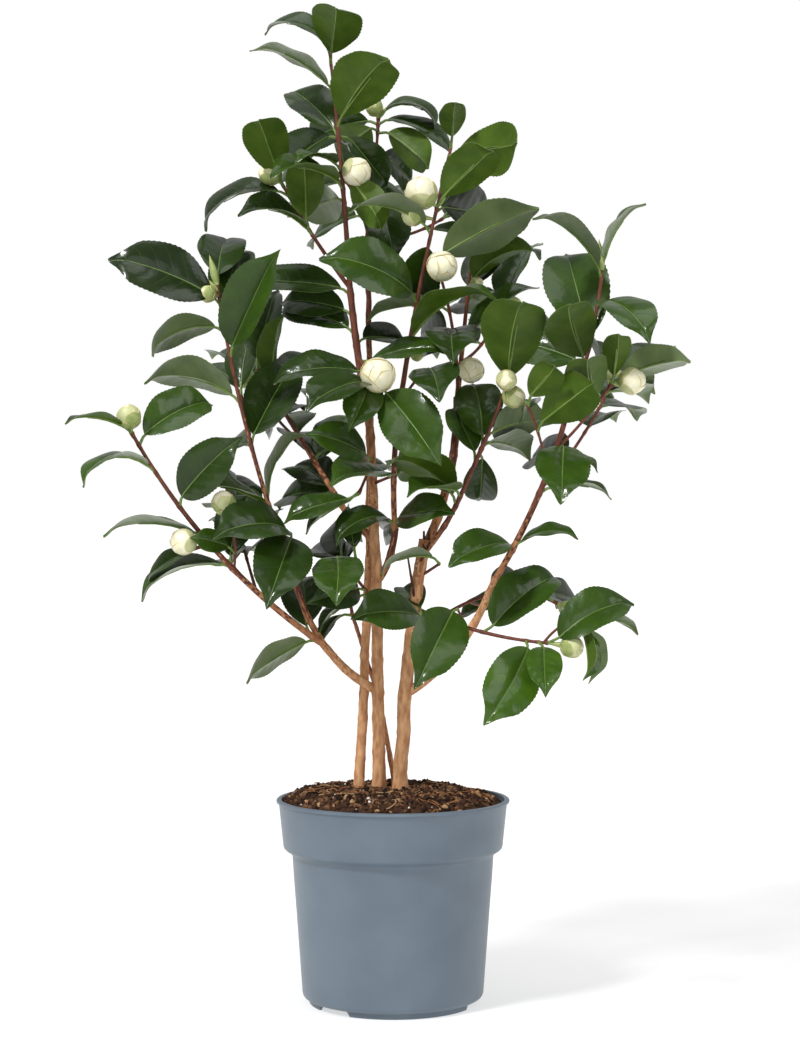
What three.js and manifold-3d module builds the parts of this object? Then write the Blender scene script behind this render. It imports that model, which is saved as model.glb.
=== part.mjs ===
// A potted camellia: three stems, their boughs and leafy shoots, the peat and the nursery pot.
// Millimetres, +Z up, the front of the plant faces -Y. The origin is on the pot's axis at the ground.
import * as THREE from 'three';
import Module from 'manifold-3d';

const wasm = await Module();
wasm.setup();

// ---- driving sizes -------------------------------------------------------------------------
const CLEAR = 0.3; // gap between parts that meet
const POT = {
  rim: 75.8, bandTop: 74.2, bandLow: 71.3, neck: 65.4, foot: 58.9, ring: 54.3,
  height: 132, bandBottom: 101, neckZ: 96, footZ: 6.8, wall: 1.8, floor: 4, lip: 2.2,
};
const FOOT_GAP = 27; // degrees of each gap in the foot ring
const FOOT_GAPS = [-45, 75, 195]; // degrees from the front, anticlockwise seen from above
const BURIED = 4; // how far the stems' curves start below the peat, to be cut flat
const SOIL_TOP = 139; // level of the peat where the stems stand
const PETIOLE = 8;
const STALK = [0.85, 0.6]; // radii of a leaf stalk
const LEAF = { breadth: 0.54, thick: 0.9, fold: 14 };
const SIDES = { stem: 8, bough: 7, shoot: 4, twig: 3, stalk: 3, bud: 6, spear: 4, pot: 34, soil: 24 };
const COLOURS = {
  pot: 0x76838c, soil: 0x3a2a20, bark: 0xb08258, shoot: 0x7c3f2c, leaf: 0x37502a,
};

// ---- small vector kit ----------------------------------------------------------------------
const rad = (degrees) => (degrees * Math.PI) / 180;
const add = (a, b, k = 1) => [a[0] + b[0] * k, a[1] + b[1] * k, a[2] + b[2] * k];
const sub = (a, b) => add(a, b, -1);
const dot = (a, b) => a[0] * b[0] + a[1] * b[1] + a[2] * b[2];
const size = (a) => Math.sqrt(dot(a, a));
const unit = (a) => add([0, 0, 0], a, 1 / size(a));
const cross = (a, b) => [
  a[1] * b[2] - a[2] * b[1],
  a[2] * b[0] - a[0] * b[2],
  a[0] * b[1] - a[1] * b[0],
];
const fraction = (x) => x - Math.floor(x);
const chance = (seed, k) => fraction(Math.sin(seed * 12.9898 + k * 78.233) * 43758.5453);

// ---- limbs: start, end, bow at the middle, radii at both ends, flare at the foot ----------
const STEMS = {
  stem_left: {
    from: [-22.8, 4, SOIL_TOP], to: [-18, 40, 500], bow: [5, -4, 0], radii: [3.3, 1.5], flare: 0.5,
  },
  stem_middle: {
    from: [-9, 3, SOIL_TOP], to: [-15, 0, 372], bow: [1.5, 0, 0], radii: [4.3, 2.8], flare: 0.8,
  },
  stem_right: {
    from: [4.6, -7, SOIL_TOP], to: [20.5, -9, 299], bow: [-3, 0, 0], radii: [4.6, 3.8], flare: 1.6,
  },
  stem_thin: {
    from: [1, 8, SOIL_TOP], to: [-27, 22, 250], bow: [4, 0, 0], radii: [1.6, 1.2], flare: 0.2,
  },
};
const BOUGHS = {
  bough_low_left: {
    on: 'stem_middle', at: 0.28, to: [-46, -12, 234], bow: [-1, 0, -3], radii: [3, 2.4],
  },
  bough_left: {
    on: 'bough_low_left', at: 0.9, to: [-66.6, -10, 283], bow: [-3, 0, 0], radii: [2.2, 1.7],
  },
  bough_mid_left: {
    on: 'stem_middle', at: 0.69, to: [-31, 6, 318], bow: [0, 0, 0], radii: [2.5, 2.2],
  },
  bough_red: {
    on: 'stem_middle', at: 0.58, to: [1.5, -2, 306], bow: [2, 0, -2], radii: [2.6, 2.1],
  },
  bough_inner_right: {
    on: 'stem_right', at: 0.96, to: [42, 14, 392], bow: [5.5, 0, -3], radii: [3, 2.4],
  },
  bough_front_right: {
    on: 'stem_right', at: 0.95, to: [39.8, -20, 321], bow: [0, 0, -2], radii: [2, 1.6],
  },
  bough_right: {
    on: 'stem_right', at: 0.4, to: [65, -27, 275], bow: [6, 0, -6], radii: [3.2, 2.3],
  },
};

// ---- shoots ----------------------------------------------------------------------------------
// A shoot grows from the tip of a limb, or from its side at a fraction of its length, and carries
// side twigs. Leaves are [site along the twig, clock of the blade seen from the front, lean towards
// the front, turn of the upper face (0 front, 90 up, 180 away), length, curl and, where it is
// not the usual one, fold], buds are [site, clock, lean, radius, stalk] and spears (leaf buds)
// are [site, clock, lean, length]. Angles are in degrees.
const SHOOTS = {
  shoot_top: [
    {
      on: 'stem_middle', to: [-28, 0, 464], bow: [-1, 0, 0], radii: [2.7, 2.2],
      leaves: [
        [0.66, 157, -35, 40, 60, 30], [0.95, 175, -8, 50, 64, 20], [0.8, 170, -55, 30, 52, 20],
        [0.6, 0, -52, 50, 50, 25],
      ],
    },
    {
      on: 0, at: 1, to: [-41, -8, 616], bow: [1, 0, 0], radii: [2, 0.9],
      leaves: [
        [1, 169, -12, 60, 47, 90], [0.95, 74, 71, 180, 63, 14], [0.82, 156, 15, 97, 58, 45, 5],
        [0.68, 42, 55, 151, 76, 14], [0.635, 134, -40, 26, 60, 30], [0.49, 186, 50, 75, 42, 50],
        [0.635, 208, -42, 25, 62, 30], [0.417, 181, 42, 72, 58, 50], [0.36, 188, -55, 150, 60, 20],
        [0.48, 300, 20, 160, 44, 20], [0.644, 313, -20, 20, 48, 25],
      ],
      buds: [[0.502, 350, 25, 9.4, 2]],
      spears: [[0.796, 103, 10, 13]],
    },
    {
      on: 0, at: 1, to: [-73, 16, 534], bow: [-2, 0, 0], radii: [1.5, 0.9],
      leaves: [
        [0.97, 110, 56, 178, 60, 25], [0.88, 205, -12, 64, 64, 80], [0.5, 172, 38, 62, 56, 55],
        [0.56, 90, 40, 178, 48, 25],
      ],
      buds: [[1, 140, 0, 7.8, 2.5]],
    },
    {
      on: 0, at: 0.55, to: [-8, -33, 399], bow: [-4, 0, 3], radii: [1.6, 1.3],
      leaves: [
        [0.68, 186, 0, 55, 58, 50], [0.86, 205, 33, 48, 60, 40], [0.72, 250, 52, 0, 50, 30],
        [0.42, 8, -10, 60, 52, 30], [1, 306, 34, 0, 68, 18],
      ],
      buds: [[0.97, 95, 66, 11.4, 1]],
    },
  ],
  shoot_back: [
    {
      on: 'stem_left', to: [-10, 46, 582], bow: [1, 0, 0], radii: [1.5, 0.9],
      leaves: [
        [0.95, 195, -35, 20, 58, 30], [1, 336, 0, 68, 46, 115], [0.95, 329, 10, 60, 56, 60],
        [0.9, 230, 60, 170, 52, 30], [0.88, 314, 42, 150, 50, 30], [0.68, 327, -60, 30, 52, 20],
        [0.52, 281, 42, 8, 62, 40], [0.2, 30, -45, 30, 60, 30],
      ],
      buds: [[1, 110, 0, 6, 2]],
      spears: [[1, 52, 0, 11]],
    },
    {
      on: 0, at: 0.05, to: [-32, 92, 546], bow: [4, 0, -6], radii: [1.3, 0.9],
      leaves: [
        [0.5, 205, -50, 60, 60, 30], [0.7, 20, -30, 70, 62, 30], [1, 110, -35, 60, 62, 30],
        [0.98, 200, -45, 60, 60, 30],
      ],
      buds: [[1, 60, -40, 8, 2]],
    },
    {
      on: 0, at: 0.02, to: [34, 88, 520], bow: [0, 6, -4], radii: [1.3, 0.9],
      leaves: [
        [0.5, 150, -60, 60, 60, 30], [0.75, 340, -30, 70, 62, 30], [1, 60, -35, 60, 62, 30],
        [0.97, 10, -60, 70, 60, 30],
      ],
    },
  ],
  shoot_red: [
    {
      on: 'bough_red', to: [6.5, -11, 401], bow: [-3, 0, 0], radii: [2, 1.8],
      leaves: [
        [0.05, 206, 25, 50, 46, 75], [0.05, 8, 50, 45, 54, 30], [0.03, 235, -45, 30, 48, 20],
        [0.34, 30, -55, 160, 44, 20],
      ],
    },
    {
      on: 0, at: 1, to: [28.3, -20, 514], bow: [-1, 0, 1], radii: [1.8, 1],
      leaves: [
        [0.22, 24, 26, 96, 70, 55], [0.45, 160, 20, 28, 70, 55], [0.8, 258, -48, 10, 60, 20],
        [0.84, 172, 10, 100, 58, 55], [1, 40, 42, 150, 56, 25], [0.97, 5, -58, 0, 62, 15],
      ],
      buds: [[1, 138, 0, 10.7, 3], [0.93, 169, 0, 7.2, 7], [0.16, 0, -40, 4, 4]],
      spears: [[1, 54, 0, 12]],
    },
    {
      on: 0, at: 0.86, to: [21, -24, 409], bow: [0, 0, 2], radii: [1, 0.9],
      leaves: [[1, 284, 70, 3, 62, 25]],
    },
    {
      on: 1, at: 0.96, to: [38, 6, 557], bow: [0, 0, 0], radii: [1.1, 0.9],
      leaves: [[0.97, 86, 58, 170, 36, 20, 20], [0.85, 355, 54, 178, 66, 20]],
    },
  ],
  shoot_inner: [
    {
      on: 'bough_inner_right', to: [51, 28, 478], bow: [0, 0, 0], radii: [2, 1],
      leaves: [
        [0.8, 52, -50, 42, 60, 30], [0.86, 15, 35, 112, 62, 85], [0.78, 330, -50, 150, 50, 20],
        [0.42, 38, -30, 65, 62, 25],
      ],
      buds: [[0.22, 5, 60, 8.5, 6], [0.88, 20, 30, 4, 3]],
    },
    {
      on: 0, at: 0.04, to: [27, -18, 481], bow: [4, 0, 0], radii: [1.3, 0.9],
      leaves: [
        [0.96, 26, 12, 142, 70, 25], [0.62, 187, -55, 100, 52, 30],
        [0.45, 197, -25, 45, 58, 30], [0.32, 178, -50, 30, 56, 20], [0.46, 268, 52, 3, 62, 28],
      ],
      buds: [[0.97, 320, 65, 10, 1]],
    },
    {
      on: 0, at: 0.3, to: [74, 78, 456], bow: [0, 4, -6], radii: [1.2, 0.9],
      leaves: [
        [0.5, 190, -60, 70, 60, 30], [0.7, 20, -65, 70, 62, 30], [1, 60, -30, 60, 62, 30],
        [0.98, 330, -30, 70, 60, 30], [0.9, 160, -60, 40, 60, 30],
      ],
      buds: [[1, 20, -40, 8, 2]],
    },
  ],
  shoot_front_right: [
    {
      on: 'bough_front_right', to: [71.8, -36, 397.5], bow: [1, 0, 0], radii: [1.6, 1],
      leaves: [
        [0.51, 98, -40, 0, 59, 20, 4], [0.38, 112, -55, 20, 44, 20], [0.58, 12, -58, 150, 56, 30],
        [0.5, 345, -58, 120, 58, 30], [0.46, 268, -50, 10, 46, 20],
        [0.1, 182, 55, 78, 56, 20], [0.03, 154, 40, 125, 66, 60],
        [0.99, 83, 55, 180, 82, 20],
      ],
      buds: [[1, 95, 75, 6.7, 9], [0.92, 0, 35, 7.3, 1.5]],
    },
  ],
  shoot_right: [
    {
      on: 'bough_right', to: [108, -45, 374], bow: [4, 0, 0], radii: [2.2, 1.8],
      leaves: [
        [0.2, 197, 38, 42, 54, 50], [0.21, 5, 20, 70, 40, 55], [0.56, 352, 5, 82, 42, 45],
        [0.74, 343, -10, 100, 28, 60],
      ],
    },
    {
      on: 0, at: 1, to: [132.8, -35, 472], bow: [4, 0, 0], radii: [1.7, 1],
      leaves: [
        [0.36, 114, 50, 178, 66, 20], [0.49, 100, -32, 0, 84, 25], [0.76, 311, 50, 35, 62, 50],
        [0.36, 165, -25, 30, 62, 20], [0.95, 144, 22, 95, 58, 50], [1, 56, 24, 92, 46, 40],
        [0.24, 350, -60, 30, 40, 20],
      ],
      spears: [[1, 95, 0, 20]],
    },
    {
      on: 0, at: 0.84, to: [137.7, -52, 399], bow: [0, 0, -2], radii: [1, 0.9],
      leaves: [
        [0.66, 108, 62, 178, 56, 30], [0.97, 90, 50, 180, 40, 10, 32], [1, 13, 28, 140, 49, 40, 28],
        [0.98, 350, -55, 120, 50, 40], [0.85, 354, -58, 100, 54, 15], [0.05, 262, 56, 3, 62, 28],
      ],
      buds: [[1, 8, 10, 8.8, 4]],
    },
    {
      on: 0, at: 0.68, to: [84, -58, 386], bow: [2, 0, 0], radii: [0.9, 0.8],
      leaves: [
        [0.62, 38, 22, 178, 58, 15], [0.97, 52, 45, 178, 40, 20], [0.97, 110, -60, 150, 40, 20],
      ],
    },
    {
      on: 0, at: 0.6, to: [142, 22, 398], bow: [0, 6, -6], radii: [1.2, 0.9],
      leaves: [
        [0.45, 200, -65, 60, 60, 30], [0.65, 20, -66, 70, 62, 30], [1, 30, -30, 60, 62, 30],
        [0.96, 100, -50, 40, 60, 30], [0.85, 350, -60, 80, 60, 30],
      ],
      buds: [[1, 60, -30, 8, 2]],
    },
  ],
  shoot_mid_left: [
    {
      on: 'bough_mid_left', to: [-90, 30, 413], bow: [0, 0, 0], radii: [2.1, 1],
      leaves: [
        [0.06, 186, -48, 52, 62, 45], [0.14, 158, -58, 50, 60, 40],
        [0.35, 24, -55, 60, 46, 20], [1, 77, -30, 30, 60, 15],
        [0.82, 82, -20, 120, 48, 20], [0.8, 50, -50, 40, 56, 20],
      ],
    },
    {
      on: 0, at: 0.5, to: [-96, 84, 408], bow: [0, 4, -6], radii: [1.1, 0.9],
      leaves: [
        [0.5, 150, -68, 70, 60, 30], [0.7, 20, -65, 60, 60, 30], [1, 150, -55, 60, 62, 30],
        [0.98, 80, -60, 40, 60, 30], [0.9, 280, -68, 60, 58, 30],
      ],
      buds: [[1, 160, -30, 8, 2]],
    },
    {
      on: 0, at: 0.06, to: [-50, 80, 350], bow: [0, 4, -6], radii: [1.1, 0.9],
      leaves: [
        [0.55, 170, -68, 70, 60, 30], [0.75, 10, -60, 60, 60, 30], [1, 140, -60, 60, 62, 30],
        [0.98, 60, -50, 40, 60, 30],
      ],
    },
  ],
  shoot_left: [
    {
      on: 'bough_left', to: [-113.4, -12, 465], bow: [-5, 0, 0], radii: [1.7, 1],
      leaves: [
        [0.93, 160, 12, 28, 72, 30], [0.83, 206, 20, 125, 54, 85], [0.58, 171, 12, 125, 62, 60],
        [0.74, 64, 12, 20, 71, 18, 36], [0.9, 75, -45, 20, 60, 20], [1, 84, -68, 0, 64, 30],
        [0.43, 64, -30, 8, 70, 25, 30], [0.22, 60, -20, 100, 54, 60],
        [0.2, 168, 45, 75, 60, 40], [0.18, 190, -50, 60, 60, 35],
      ],
      buds: [[0.96, 170, 20, 5.8, 2]],
      spears: [[1, 105, 0, 20], [0.98, 140, 0, 14]],
    },
    {
      on: 0, at: 0.13, to: [-65, -30, 304.5], bow: [0, 0, 0], radii: [1, 0.9],
      leaves: [[0.85, 184, 40, 45, 64, 75], [1, 253, 53, 0, 70, 25]],
      buds: [[0.75, 205, -12, 7, 2]],
    },
    {
      on: 0, at: 0.3, to: [-102, 44, 396], bow: [0, 6, -6], radii: [1.1, 0.9],
      leaves: [
        [0.5, 200, -65, 70, 60, 30], [0.7, 20, -60, 60, 60, 30], [1, 150, -55, 60, 62, 30],
        [0.98, 80, -60, 40, 60, 30],
      ],
    },
  ],
  shoot_low_left: [
    {
      on: 'bough_low_left', to: [-162.4, -65, 368], bow: [-8, 0, -7], radii: [2.3, 1.1],
      leaves: [
        [0.02, 212, 22, 125, 50, 20], [0.05, 98, -58, 3, 62, 15], [0.42, 203, 0, 75, 60, 60],
        [0.42, 75, -50, 15, 60, 20], [0.4, 345, -60, 130, 56, 20],
        [0.7, 44, 17, 12, 57, 30], [0.84, 198, 30, 80, 55, 100], [0.95, 28, -36, 25, 60, 45],
        [1, 176, 32, 95, 40, 40], [0.56, 180, 5, 92, 60, 45],
      ],
      buds: [[1, 100, 0, 7.8, 2.4]],
      spears: [[0.97, 125, 0, 10]],
    },
    {
      on: 0, at: 0.53, to: [-123.6, -50, 296], bow: [0, 0, 0], radii: [1, 0.9],
      leaves: [[0.62, 212, -20, 60, 38, 20]],
      buds: [[1, 155, 0, 8.5, 0.6]],
    },
    {
      on: 0, at: 0.41, to: [-103, -46, 317], bow: [2, 0, 0], radii: [0.9, 0.8],
      leaves: [[0.3, 165, 20, 20, 28, 15]],
      buds: [[1, 115, 35, 7.8, 2]],
    },
    {
      on: 0, at: 0.3, to: [-104, 26, 312], bow: [0, 6, -2], radii: [1.1, 0.9],
      leaves: [
        [0.5, 180, -72, 70, 56, 30], [0.7, 40, -65, 60, 58, 30], [1, 160, -60, 60, 60, 30],
        [0.98, 100, -60, 40, 60, 30],
      ],
    },
  ],
  shoot_low_right: [
    {
      on: 'stem_right', at: 0.74, to: [96.9, -60, 236.8], bow: [0, -2, -4], radii: [1.5, 1],
      leaves: [
        [0.52, 35, -28, 35, 66, 70], [0.84, 237, 38, 0, 66, 22],
        [0.93, 268, 52, 0, 44, 28], [1, 24, -12, 38, 58, 60],
      ],
      buds: [[1, 352, 10, 7.4, 8]],
    },
    {
      on: 0, at: 0.97, to: [115, -56, 250], bow: [0, 3, 3], radii: [0.9, 0.8],
      leaves: [
        [1, 345, -10, 110, 36, 60], [0.95, 272, 30, 70, 36, 28, 50],
        [0.97, 280, -30, 130, 42, 25, 50],
      ],
    },
    {
      on: 0, at: 0.4, to: [41, -42, 257], bow: [0, 0, 0], radii: [0.9, 0.8],
      leaves: [[1, 242, 40, 0, 66, 22]],
    },
  ],
  shoot_low_back: [
    {
      on: 'stem_right', at: 0.6, to: [108, 16, 258], bow: [0, 4, 17], radii: [1.3, 0.9],
      leaves: [
        [0.97, 150, 20, 175, 30, 25], [1, 345, -40, 150, 44, 20], [0.5, 20, -50, 40, 48, 20],
        [0.7, 340, -50, 70, 58, 30],
      ],
      buds: [[1, 330, 0, 5.3, 2]],
    },
    {
      on: 0, at: 0.4, to: [96, 78, 262], bow: [0, 4, -6], radii: [1.1, 0.9],
      leaves: [
        [0.5, 20, -72, 70, 56, 30], [0.75, 200, -50, 60, 44, 30], [1, 340, -55, 60, 60, 30],
      ],
      buds: [[1, 40, -30, 7.5, 2]],
    },
  ],
  shoot_crotch: [
    {
      on: 'stem_right', at: 0.86, to: [30, -16, 285], bow: [0, 0, 0], radii: [1.1, 0.9],
      leaves: [[1, 197, 25, 105, 42, 60]],
    },
  ],
  shoot_front_low: [
    {
      on: 'stem_right', at: 0.66, to: [19, -19, 250], bow: [0, 0, 0], radii: [1.2, 0.9],
      leaves: [[1, 178, 46, 35, 60, 20], [0.95, 135, -45, 30, 38, 20]],
    },
  ],
  shoot_middle: [
    {
      on: 'stem_middle', at: 0.85, to: [-2, -12, 341], bow: [0, 0, 0], radii: [1.2, 0.9],
      leaves: [[1, 187, 54, 64, 62, 25]],
    },
  ],
  shoot_side: [
    {
      on: 'stem_middle', at: 0.9, to: [-14, -6, 352], bow: [0, 0, 0], radii: [1.2, 0.9],
      leaves: [[1, 160, 30, 30, 46, 30]],
    },
    {
      on: 0, at: 0.4, to: [-22, -13, 330], bow: [0, 0, 0], radii: [1, 0.9],
      leaves: [[1, 198, 4, 50, 46, 35], [0.9, 215, 10, 75, 38, 20]],
    },
  ],
  shoot_low_middle: [
    {
      on: 'stem_middle', at: 0.52, to: [-34, -25, 289], bow: [0, 0, 0], radii: [1.2, 0.9],
      leaves: [[1, 272, 64, 0, 60, 28], [0.3, 194, 45, 5, 46, 25], [0.2, 218, 45, 80, 40, 20]],
    },
    {
      on: 0, at: 0.5, to: [-24, -14, 288], bow: [0, 0, 0], radii: [1, 0.9],
      leaves: [[1, 100, -50, 10, 30, 10]],
    },
  ],
  shoot_thin: [
    {
      on: 'stem_thin', to: [-34, 40, 285], bow: [0, 0, 0], radii: [1.2, 0.9],
      leaves: [
        [0.02, 236, 30, 60, 28, 40], [1, 80, -60, 60, 60, 30], [0.9, 170, -65, 60, 60, 30],
        [0.8, 60, -70, 60, 58, 30],
      ],
    },
  ],
};

// ---- curves ----------------------------------------------------------------------------------
// A limb runs from one end to the other, bowed out by `bow` halfway.
function spot(limb, t) {
  return add(add(limb.from, sub(limb.to, limb.from), t), limb.bow, 4 * t * (1 - t));
}
function heading(limb, t) {
  return unit(add(sub(limb.to, limb.from), limb.bow, 4 - 8 * t));
}
function girth(limb, t) {
  const flare = (limb.flare ?? 0) * Math.max(0, 1 - t * 9) ** 2;
  return limb.radii[0] + (limb.radii[1] - limb.radii[0]) * t + flare;
}
const reach = (limb) => size(sub(limb.to, limb.from));

// ---- the lie of every limb, shoot, leaf and bud ----------------------------------------------
function layLimbs() {
  const limbs = {};
  for (const [name, stem] of Object.entries(STEMS)) {
    const from = [stem.from[0], stem.from[1], SOIL_TOP - BURIED];
    limbs[name] = { ...stem, from, sides: SIDES.stem };
  }
  for (const [name, bough] of Object.entries(BOUGHS)) {
    limbs[name] = { ...bough, from: spot(limbs[bough.on], bough.at), sides: SIDES.bough };
  }
  return limbs;
}

function layTwigs(limbs) {
  const twigs = [];
  for (const [shoot, rows] of Object.entries(SHOOTS)) {
    const own = [];
    for (const row of rows) {
      const parent = typeof row.on === 'string' ? limbs[row.on] : own[row.on];
      const at = row.at ?? 1;
      const back = at === 1 && typeof row.on === 'string' ? -1 : 0;
      const from = add(spot(parent, at), heading(parent, at), back);
      own.push({ ...row, from, shoot });
    }
    twigs.push(...own);
  }
  return twigs;
}

// Clock and lean give the way a blade points; turn rolls its upper face from front to up to away.
function bladeWays(clock, lean, turn) {
  const [c, l, r] = [rad(clock), rad(lean), rad(turn)];
  const along = [Math.cos(c) * Math.cos(l), -Math.sin(l), Math.sin(c) * Math.cos(l)];
  const front = [-Math.sin(l) * Math.cos(c), -Math.cos(l), -Math.sin(l) * Math.sin(c)];
  const side = Math.cos(c) >= 0 ? 1 : -1;
  const up = [-Math.sin(c) * side, 0, Math.cos(c) * side];
  const face = add(add([0, 0, 0], front, Math.cos(r)), up, Math.sin(r));
  return { along, face };
}

function layBlade(twig, row, number, turnAside) {
  const [at, clock, lean, turn, length, curl, fold] = row;
  const { along, face } = bladeWays(clock, lean + turnAside, turn);
  const seed = number + 1;
  const blade = {
    shoot: twig.shoot, along, face, length, seed,
    bend: rad(Math.max(curl, 1)),
    breadth: length * (LEAF.breadth + 0.06 * (chance(seed, 1) - 0.5)),
    fold: rad(fold ?? LEAF.fold + 16 * (chance(seed, 2) - 0.5)),
  };
  const start = add(add([0, 0, 0], along, Math.cos(blade.bend / 2)), face, Math.sin(blade.bend / 2));
  blade.site = spot(twig, at);
  blade.stalk = unit(add(start, heading(twig, at), 0.6));
  blade.base = add(blade.site, blade.stalk, PETIOLE);
  return blade;
}

// Point on the midrib at s (0 base, 1 tip) with the blade's own up there.
function midrib(blade, s) {
  const { bend, along, face, length } = blade;
  const a = bend * (0.5 - s);
  const x = (length * (Math.sin(bend / 2) - Math.sin(a))) / bend;
  const y = (length * (Math.cos(a) - Math.cos(bend / 2))) / bend;
  const up = add(add([0, 0, 0], face, Math.cos(a)), along, -Math.sin(a));
  return { point: add(add(blade.base, along, x), face, y), up };
}

const STATIONS = [[0.16, 0.68], [0.46, 1], [0.79, 0.6]]; // along the blade, breadth
function outline(blade) {
  const right = cross(blade.along, blade.face);
  return STATIONS.map(([s, wide]) => {
    const { point, up } = midrib(blade, s);
    const half = (blade.breadth * wide) / 2;
    const lift = half * Math.sin(blade.fold);
    const out = half * Math.cos(blade.fold);
    return {
      point, up,
      right: add(add(point, right, out), up, lift),
      left: add(add(point, right, -out), up, lift),
    };
  });
}

function sheet(blade) {
  const rows = outline(blade);
  const tip = midrib(blade, 1).point;
  const corners = [blade.base, ...rows.flatMap((r) => [r.left, r.point, r.right]), tip];
  const faces = [[0, 3, 2], [0, 2, 1]];
  for (let i = 1; i + 5 < corners.length; i += 3) {
    faces.push([i, i + 1, i + 4], [i, i + 4, i + 3], [i + 1, i + 2, i + 5], [i + 1, i + 5, i + 4]);
  }
  const last = corners.length - 1;
  faces.push([last - 3, last - 2, last], [last - 2, last - 1, last]);
  return { corners, triangles: faces.map((f) => f.map((k) => corners[k])) };
}

// ---- keeping blades clear of what is already there --------------------------------------------
function nearest(p, [a, b, c]) {
  const [ab, ac, ap] = [sub(b, a), sub(c, a), sub(p, a)];
  const [d1, d2] = [dot(ab, ap), dot(ac, ap)];
  if (d1 <= 0 && d2 <= 0) return a;
  const bp = sub(p, b);
  const [d3, d4] = [dot(ab, bp), dot(ac, bp)];
  if (d3 >= 0 && d4 <= d3) return b;
  const vc = d1 * d4 - d3 * d2;
  if (vc <= 0 && d1 >= 0 && d3 <= 0) return add(a, ab, d1 / (d1 - d3));
  const cp = sub(p, c);
  const [d5, d6] = [dot(ab, cp), dot(ac, cp)];
  if (d6 >= 0 && d5 <= d6) return c;
  const vb = d5 * d2 - d1 * d6;
  if (vb <= 0 && d2 >= 0 && d6 <= 0) return add(a, ac, d2 / (d2 - d6));
  const va = d3 * d6 - d5 * d4;
  if (va <= 0 && d4 >= d3 && d5 >= d6) return add(b, sub(c, b), (d4 - d3) / (d4 - d3 + d5 - d6));
  const sum = va + vb + vc;
  return add(add(a, ab, vb / sum), ac, vc / sum);
}

function pierces(p, q, [a, b, c]) {
  const [way, e1, e2] = [sub(q, p), sub(b, a), sub(c, a)];
  const h = cross(way, e2);
  const det = dot(e1, h);
  if (Math.abs(det) < 1e-9) return false;
  const s = sub(p, a);
  const u = dot(s, h) / det;
  const k = cross(s, e1);
  const v = dot(way, k) / det;
  const t = dot(e2, k) / det;
  return u >= 0 && v >= 0 && u + v <= 1 && t >= 0 && t <= 1;
}

const BLADE_GAP = 1.7; // between the middles of two blades of different shoots
const BALL_GAP = 1.1; // between a blade's middle and a twig or a bud
const BALL_STEP = 2.5; // between the balls that stand for a limb or a twig
const SPAN = 0.56; // of a blade's length, from its middle to its farthest corner

function sheetsMeet(a, b, apart) {
  const edges = (t) => [[t[0], t[1]], [t[1], t[2]], [t[2], t[0]]];
  for (const one of a.triangles) {
    for (const two of b.triangles) {
      if (edges(one).some(([p, q]) => pierces(p, q, two))) return true;
      if (edges(two).some(([p, q]) => pierces(p, q, one))) return true;
    }
  }
  if (!apart) return false;
  const close = (points, faces) =>
    points.some((p) => faces.some((t) => size(sub(p, nearest(p, t))) < BLADE_GAP));
  return close(a.corners, b.triangles) || close(b.corners, a.triangles);
}

function isFree(blade, balls, placed) {
  const shape = sheet(blade);
  const centre = midrib(blade, 0.5).point;
  const span = SPAN * blade.length;
  for (const ball of balls) {
    if (size(sub(ball.centre, centre)) > span + ball.radius + BALL_GAP) continue;
    const own = ball.shoot === blade.shoot || ball.limb;
    if (own && size(sub(ball.centre, blade.base)) < ball.radius + PETIOLE + 1) continue;
    const limit = ball.radius + BALL_GAP;
    const near = (t) => size(sub(ball.centre, nearest(ball.centre, t))) < limit;
    if (shape.triangles.some(near)) return false;
  }
  for (const other of placed) {
    if (size(sub(other.centre, centre)) > span + other.span) continue;
    if (sheetsMeet(shape, other.shape, other.blade.shoot !== blade.shoot)) return false;
  }
  placed.push({ blade, shape, centre, span });
  return true;
}

function ballsAlong(limb, extra) {
  const count = Math.ceil(reach(limb) / BALL_STEP);
  return Array.from({ length: count + 1 }, (_, i) => ({
    centre: spot(limb, i / count), radius: girth(limb, i / count), ...extra,
  }));
}

function layBud(twig, [at, clock, lean, radius, stalk]) {
  const { along } = bladeWays(clock, lean, 0);
  const site = spot(twig, at);
  return { shoot: twig.shoot, along, site, radius, centre: add(site, along, radius + stalk) };
}

const ASIDE = [0, 8, -8, 16, -16, 25, -25, 35, -35, 46, -46]; // degrees a blade may lean aside
function layLeaves(twigs, limbs) {
  const buds = twigs.flatMap((twig) => (twig.buds ?? []).map((row) => layBud(twig, row)));
  const balls = [
    ...Object.values(limbs).flatMap((limb) => ballsAlong(limb, { limb: true })),
    ...twigs.flatMap((twig) => ballsAlong(twig, { shoot: twig.shoot })),
    ...buds,
  ];
  const placed = [];
  let number = 0;
  for (const twig of twigs) {
    for (const row of twig.leaves) {
      ASIDE.some((aside) => isFree(layBlade(twig, row, number, aside), balls, placed));
      number += 1;
    }
  }
  return { buds, blades: placed.map((p) => p.blade) };
}

// ---- solids ------------------------------------------------------------------------------------
function solid(corners, faces) {
  return new wasm.Manifold(
    new wasm.Mesh({
      numProp: 3,
      vertProperties: new Float32Array(corners.flat()),
      triVerts: new Uint32Array(faces.flat()),
    }),
  );
}

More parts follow.
